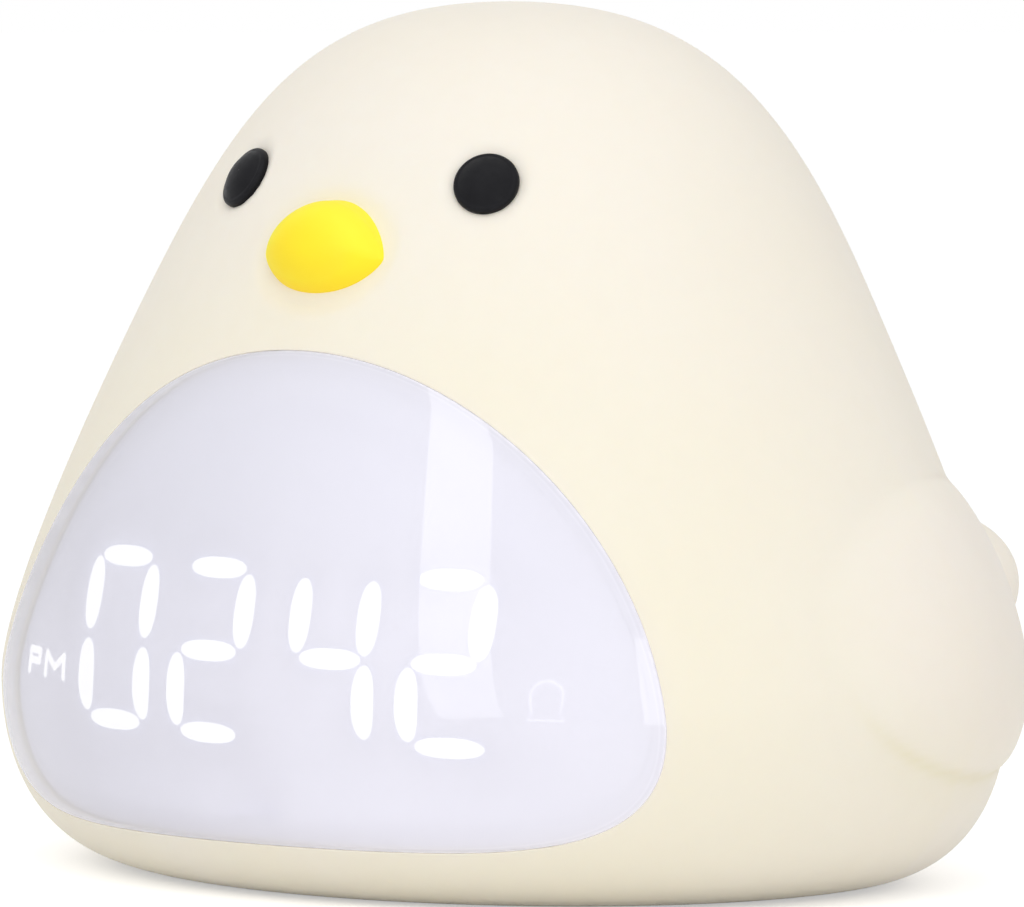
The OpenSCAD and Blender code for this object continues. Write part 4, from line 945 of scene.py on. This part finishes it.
def sleeve_shade(p):
    """Painted light and shade: the display's light warms the sleeve round the window, and painted shade
    darkens the fold under a wing.
    """
    x, y, z = p.T
    glow = np.exp(-(outline_distance(x, z, 90) / 14) ** 2) * (y < 0)
    inside = 1 - np.sqrt(((y - WING_Y) / (WING_LEN / 2)) ** 2 + ((z - WING_Z) / (WING_H / 2)) ** 2)
    flank = smooth((np.abs(x) - 40) / 8)
    wing = flank * smooth(inside * 2.5)
    under = smooth((WING_Z - z) / 10) * smooth((y - WING_Y + 26) / 12)
    # painted shade: a dark line along the wing's lower edge, and a softer band just below it
    crease_shade = np.exp(-((inside + 0.02) / 0.04) ** 2)
    shade_below = smooth((0.02 - inside) / 0.04) * smooth((inside + 0.4) / 0.36)
    fold_shade = flank * under * (crease_shade + 0.3 * shade_below)
    out = np.ones((len(x), 3))
    out[:, 0] -= 0.01 * wing + 0.035 * fold_shade
    out[:, 1] -= 0.015 * wing + 0.04 * fold_shade
    out[:, 2] -= 0.05 * glow + 0.11 * fold_shade - 0.006 * wing
    return out


dress(build("sleeve", make_sleeve(), colour=sleeve_shade), "sleeve", "silicone_skin")

# ---- face


def make_eye(side):
    r, edge = EYE_D / 2, 0.55
    profile = [(0, -0.6), (1.3, -0.6), (1.3, 0.1), (r - 0.5, 0.1), (r - 0.15, 0.2), (r, 0.5)]
    profile = [(q, h - EYE_POCKET) for q, h in profile] + [(r, -0.2)]
    profile += quarter_round(r, -0.2 + edge, edge, 8)
    top_r, top_h, dome = r - edge, -0.2 + edge, 1.0
    for s in (0.96, 0.9, 0.8, 0.68, 0.54, 0.38, 0.2):
        profile.append((top_r * s, top_h + dome * (1 - s ** 2.2)))
    profile.append((0, top_h + dome))
    return lathe(profile, 96, face_frame(side * EYE_X, EYE_Z))


for side, hand in ((-1, "left"), (1, "right")):
    dress(build(hand + "_eye", make_eye(side)), "eye_black", "eye_" + hand)


def make_beak():
    """A rounded cone with an almond base: its corners sit low and rise toward the tip."""
    shape = Shape()
    steps = 112
    c, s = np.cos(circle(steps)), np.sin(circle(steps))
    rows = []
    turns = np.linspace(0.05, math.pi / 2, 44)[:-1]
    shares = np.concatenate([np.linspace(-0.45, 0, 6), 1 - np.cos(turns) ** 1.6])
    for h in shares:
        up_h = max(h, 0)
        r = (1 - up_h ** 1.7) ** 0.6
        corner = -0.8 + 0.8 * up_h
        up, down = BEAK_H / 2 * r - corner * r, BEAK_H / 2 * r + corner * r
        almond = 1 + 0.4 * (1 - min(1, up_h * 1.6))
        z = BEAK_Z + corner * r + np.where(s > 0, up, down) * np.sign(s) * np.abs(s) ** almond
        y = np.full(steps, BEAK_Y - h * BEAK_OUT)
        rows.append(shape.row(np.stack([BEAK_W / 2 * r * c, y, z], -1)))
    shape.bands(rows)
    shape.fan(rows[0], (0, BEAK_Y + 0.45 * BEAK_OUT, BEAK_Z))
    shape.fan(rows[-1], (0, BEAK_Y - BEAK_OUT, BEAK_Z))
    return shape


def beak_shade(p):
    """Painted shade: the lower half is darker below a faint crease between the halves, and the tip and the
    lower half are painted warmer.
    """
    h = np.clip((BEAK_Y - p[:, 1]) / BEAK_OUT, 0, 1)
    line = BEAK_Z - 1.0 + 2.2 * h
    shade_below = smooth((line - p[:, 2]) / 1.6 + 0.5) * smooth((1 - h) * 2.2)
    tip = smooth((h - 0.45) / 0.5)
    low = smooth((BEAK_Z - p[:, 2]) / 5.0)
    out = np.ones((len(p), 3))
    # painted shade: less green and blue under the crease, at the tip and low down
    out[:, 1] -= 0.05 * shade_below + 0.1 * np.maximum(tip, low)
    out[:, 2] -= 0.35 * np.maximum(shade_below, np.maximum(tip, low))
    return out


dress(build("beak_cone", make_beak(), colour=beak_shade), "beak_yellow", "beak")

# ---- window and display


def lens_shade(p):
    """Painted light: the window's cut edge and the line of its bevel glow with the display's light."""
    d = outline_distance(p[:, 0], p[:, 2])
    # painted light: glow lines at the cut edge and along the bevel
    rim = 0.16 * np.exp(-(d / 0.16) ** 2) + 0.05 * np.exp(-((d - BEVEL) / 0.08) ** 2)
    return np.stack([rim, rim, 1.06 * rim], -1)


lens_shape = belly_sheet(HOLE_GAP, LENS_INSET, LENS_BACK, 0.1, 56, 20, lens_dip,
                         (0.08, 0.16, *(BEVEL + d for d in (-0.26, -0.18, -0.1, -0.02, 0.1, 0.3))))
lens = dress(build("window_lens", lens_shape, colour=lens_shade), "window", "display_lens")


def clear_back(piece, material):
    """Only the face that looks out keeps its own finish; the back and the cut edge get another."""
    mesh = piece.data
    centre, normal = np.zeros(len(mesh.polygons) * 3), np.zeros(len(mesh.polygons) * 3)
    mesh.polygons.foreach_get("center", centre)
    mesh.polygons.foreach_get("normal", normal)
    p = centre.reshape(-1, 3) / MM - [0, AXIS_Y, 0]
    facing = np.sum(outward(*place(p[:, 0], p[:, 2])) * normal.reshape(-1, 3), 1)
    mesh.materials.append(material)
    mesh.polygons.foreach_set("material_index", np.where(facing > 0.3, 0, 1).astype(np.int32))


clear_back(lens, MATERIALS["window_back"])


def mask_shade(p):
    """Painted light, the mask's own glow: it grows from left to right, with a thin halo round each lit
    stroke.
    """
    d = np.maximum(stroke_distance(p[:, 0], p[:, 2]), 0)
    near = 0.07 * np.exp(-d / 0.3)
    room = ROOM_LEFT + ROOM_RISE * smooth((p[:, 0] - ROOM_FROM) / ROOM_WIDE)
    # near the strokes it is less, because their light falls on the mask there
    room = room - np.minimum(0.75 * room, 0.125 * np.exp(-d / 3.6))
    return np.stack([room + near * 0.3, room + near * 0.5, 1.1 * room + near], -1)


mask_shape = belly_sheet(MASK_INSET, MASK_EDGE, MASK_BACK, 0.05, 110, 16, display_dip)
dress(build("mask_sheet", mask_shape, colour=mask_shade), "mask", "display_mask", "unlit_segments")
tape_shape = belly_ring(TAPE_OUTER, MASK_INSET, TAPE_FRONT, TAPE_BACK, 9)
dress(build("tape_ring", tape_shape, colour=mask_shade), "tape", "lens_tape")
dress(build("lit_strokes", lit_strokes()), "lit", "lit_segments")
dress(build("pm_letters", letters()), "lit", "pm_mark")
dress(build("bell_outline", bell()), "unlit", "bell_mark")

# ---- controls


def button_cap(index):
    """A round cap with a flange at its back and a slightly dished top."""
    origin = np.array([(index - 1.5) * BUTTON_PITCH, 0.0, ROW_Z])
    axes = (origin, np.array([1.0, 0, 0]), np.array([0, 0, 1.0]), np.array([0, 1.0, 0]))
    r, top, back = BUTTON_D / 2, PANEL_FACE + BUTTON_PROUD, PANEL_FACE - FLANGE_BACK
    wide, edge, dish = r + FLANGE_OUT, 0.45, 0.16
    profile = [(0, back), (r, back), (r, back + 0.3), (wide, back + 0.32),
               (wide, back + 1.28), (r, back + 1.3), (r, top - edge)]
    profile += quarter_round(r, top, edge, 7)
    for s in (0.9, 0.75, 0.6, 0.45, 0.3, 0.15):
        profile.append(((r - edge) * s, top - dish * (1 - s * s)))
    profile.append((0, top - dish))
    return lathe(profile, 64, axes)


def raised_bar(shape, middle, outline, low, high):
    """A bar standing on a cap, from low to high along Y."""
    rows = []
    for share, y in ((1, low), (1, high - 0.05), (0.93, high)):
        ring = np.array(middle) + outline * share
        rows.append(shape.row(np.stack([ring[:, 0], np.full(len(ring), y), ring[:, 1]], -1)))
    shape.bands(rows)
    shape.fan(rows[0], (middle[0], low, middle[1]))
    shape.fan(rows[-1], (middle[0], high, middle[1]))


def key_mark(index, key):
    """The raised mark on a button: a lamp's dot and rays, three lines, a plus or a minus."""
    x, z, top = (index - 1.5) * BUTTON_PITCH, ROW_Z, PANEL_FACE + BUTTON_PROUD
    low, high, shape = top - 0.35, top - 0.02, Shape()
    rays = [(math.sin(a), math.cos(a)) for a in np.arange(8) * math.pi / 4]
    level = ((x, z), (2.1, 0.0), 0.4)
    bars = {
        "light": [((x, z), (0.0, 0.0), 1.1)] + [
            ((x + 1.25 * s, z + 1.25 * c), (0.35 * s, 0.35 * c), 0.26) for s, c in rays],
        "mode": [((x, z + d), (1.7, 0.0), 0.32) for d in (-0.8, 0, 0.8)],
        "plus": [level] + [((x, z + d), (0.0, 0.66), 0.4) for d in (0.66, -0.66)],
        "minus": [level],
    }
    for middle, run, wide in bars[key]:
        raised_bar(shape, middle, round_bar(run, wide), low, high)
    return shape


for i, key in enumerate(("light", "mode", "plus", "minus")):
    dress(build(key + "_cap", button_cap(i), key + "_key"), "button_plastic", "button_" + key)
    dress(build(key + "_mark", key_mark(i, key), key + "_key"), "grey_plastic")

# ---- stage, lights and camera


def make_world(level):
    """The world lights the object at this level and shows as white."""
    world = bpy.data.worlds.new("studio")
    bpy.context.scene.world = world
    nodes = Nodes(world)
    light = nodes.add("ShaderNodeBackground", Color=(1, 0.995, 0.985, 1), Strength=level)
    white = nodes.add("ShaderNodeBackground", Color=(1, 1, 1, 1), Strength=1.0)
    mix = nodes.add("ShaderNodeMixShader")
    for index, value in enumerate((nodes.background_rays(), light.outputs[0], white.outputs[0])):
        nodes.put(mix.inputs[index], value)
    nodes.add("ShaderNodeOutputWorld", Surface=mix.outputs[0])


def make_floor(top_up):
    """A pale floor that keeps the shadow; top_up is added for the camera and in reflections."""
    shape = Shape()
    angle = circle(64)
    ring = np.stack([np.cos(angle), np.sin(angle), 0 * angle], -1)
    rows = [shape.row(ring * r) for r in (40, 120, 400, 1500, 6000)]
    shape.bands(rows)
    shape.fan(rows[0], (0, 0, 0))
    mesh = raw_mesh("floor", shape)
    material = bpy.data.materials.new("floor")
    nodes = Nodes(material)
    level = nodes.add("ShaderNodeMapRange", Value=nodes.background_rays(), To_Max=top_up)
    glow = nodes.add("ShaderNodeEmission", Strength=level.outputs["Result"])
    diffuse = nodes.add("ShaderNodeBsdfDiffuse", Color=(0.93, 0.93, 0.93, 1))
    both = nodes.add("ShaderNodeAddShader")
    for index, shader in enumerate((diffuse, glow)):
        nodes.put(both.inputs[index], shader.outputs[0])
    nodes.add("ShaderNodeOutputMaterial", Surface=both.outputs[0])
    mesh.materials.append(material)
    floor = put_in_scene("floor", mesh)


def area_light(name, at, target, width, height, radiance):
    """A softbox; positions are in millimetres from the body's axis."""
    light = bpy.data.lights.new(name, "AREA")
    light.shape = "RECTANGLE"
    light.size, light.size_y = width * MM, height * MM
    light.energy = radiance * math.pi * width * height * MM * MM
    lamp = put_in_scene(name, light)
    at, target = (Vector(v) + Vector((0, AXIS_Y, 0)) for v in (at, target))
    lamp.location = at * MM
    lamp.rotation_euler = (target - at).to_track_quat("-Z", "Y").to_euler()
    return lamp


def direction(az, el):
    """The unit vector at this many degrees round from the front and up from level."""
    az, el = math.radians(az), math.radians(el)
    return Vector((math.sin(az) * math.cos(el), -math.cos(az) * math.cos(el), math.sin(el)))


def strip_light(radiance):
    """The tall softbox in front, which the window mirrors as a bright strip."""
    eye = Vector((27, -42, 40))
    low, high = (eye + away * direction(az, el) for az, el, away in STRIP_ENDS)
    middle = (low + high) / 2
    lamp = area_light("strip_box", middle, eye, STRIP_W, (high - low).length, radiance)
    tall = (high - low).normalized()
    out = (middle - eye).normalized()
    side = tall.cross(out).normalized()
    turn = Matrix((side, out.cross(side), out)).transposed().to_4x4()
    lamp.matrix_world = Matrix.Translation(lamp.location) @ turn
    # it is dimmer low down, like a softbox lit from its top
    nodes = Nodes(lamp.data)
    place_on = nodes.add("ShaderNodeNewGeometry").outputs["Parametric"]
    height = nodes.add("ShaderNodeSeparateXYZ", Vector=place_on).outputs["Y"]
    ramp = nodes.add("ShaderNodeMapRange", Value=height, To_Min=STRIP_LOW, To_Max=2 - STRIP_LOW)
    glow = nodes.add("ShaderNodeEmission", Strength=ramp.outputs["Result"])
    nodes.add("ShaderNodeOutputLight", Surface=glow.outputs[0])


def make_camera():
    back = direction(CAMERA_AZ, CAMERA_EL)
    right = direction(CAMERA_AZ + 90, 0)
    up = back.cross(right)
    data = bpy.data.cameras.new("camera")
    data.lens, data.sensor_width = 300.4, 36
    data.sensor_fit = "HORIZONTAL"
    data.shift_x, data.shift_y = -0.0058, -0.0026
    data.clip_start, data.clip_end = 0.01, 20
    camera = put_in_scene("camera", data)
    at = back * CAMERA_AWAY + right * CAMERA_ASIDE + up * CAMERA_UP + Vector((0, AXIS_Y, 0))
    turn = Matrix((right, up, back)).transposed().to_4x4()
    camera.matrix_world = Matrix.Translation(at * MM) @ turn
    bpy.context.scene.camera = camera


make_world(0.66)
make_floor(0.42)
area_light("top_box", (150, -200, 620), (0, 0, 50), 500, 500, 0.8)
area_light("side_box", (887, -579, 260), (20, 0, 35), 420, 620, 1.9)
strip_light(1.75)
make_camera()
bpy.context.scene.view_settings.view_transform = "Standard"
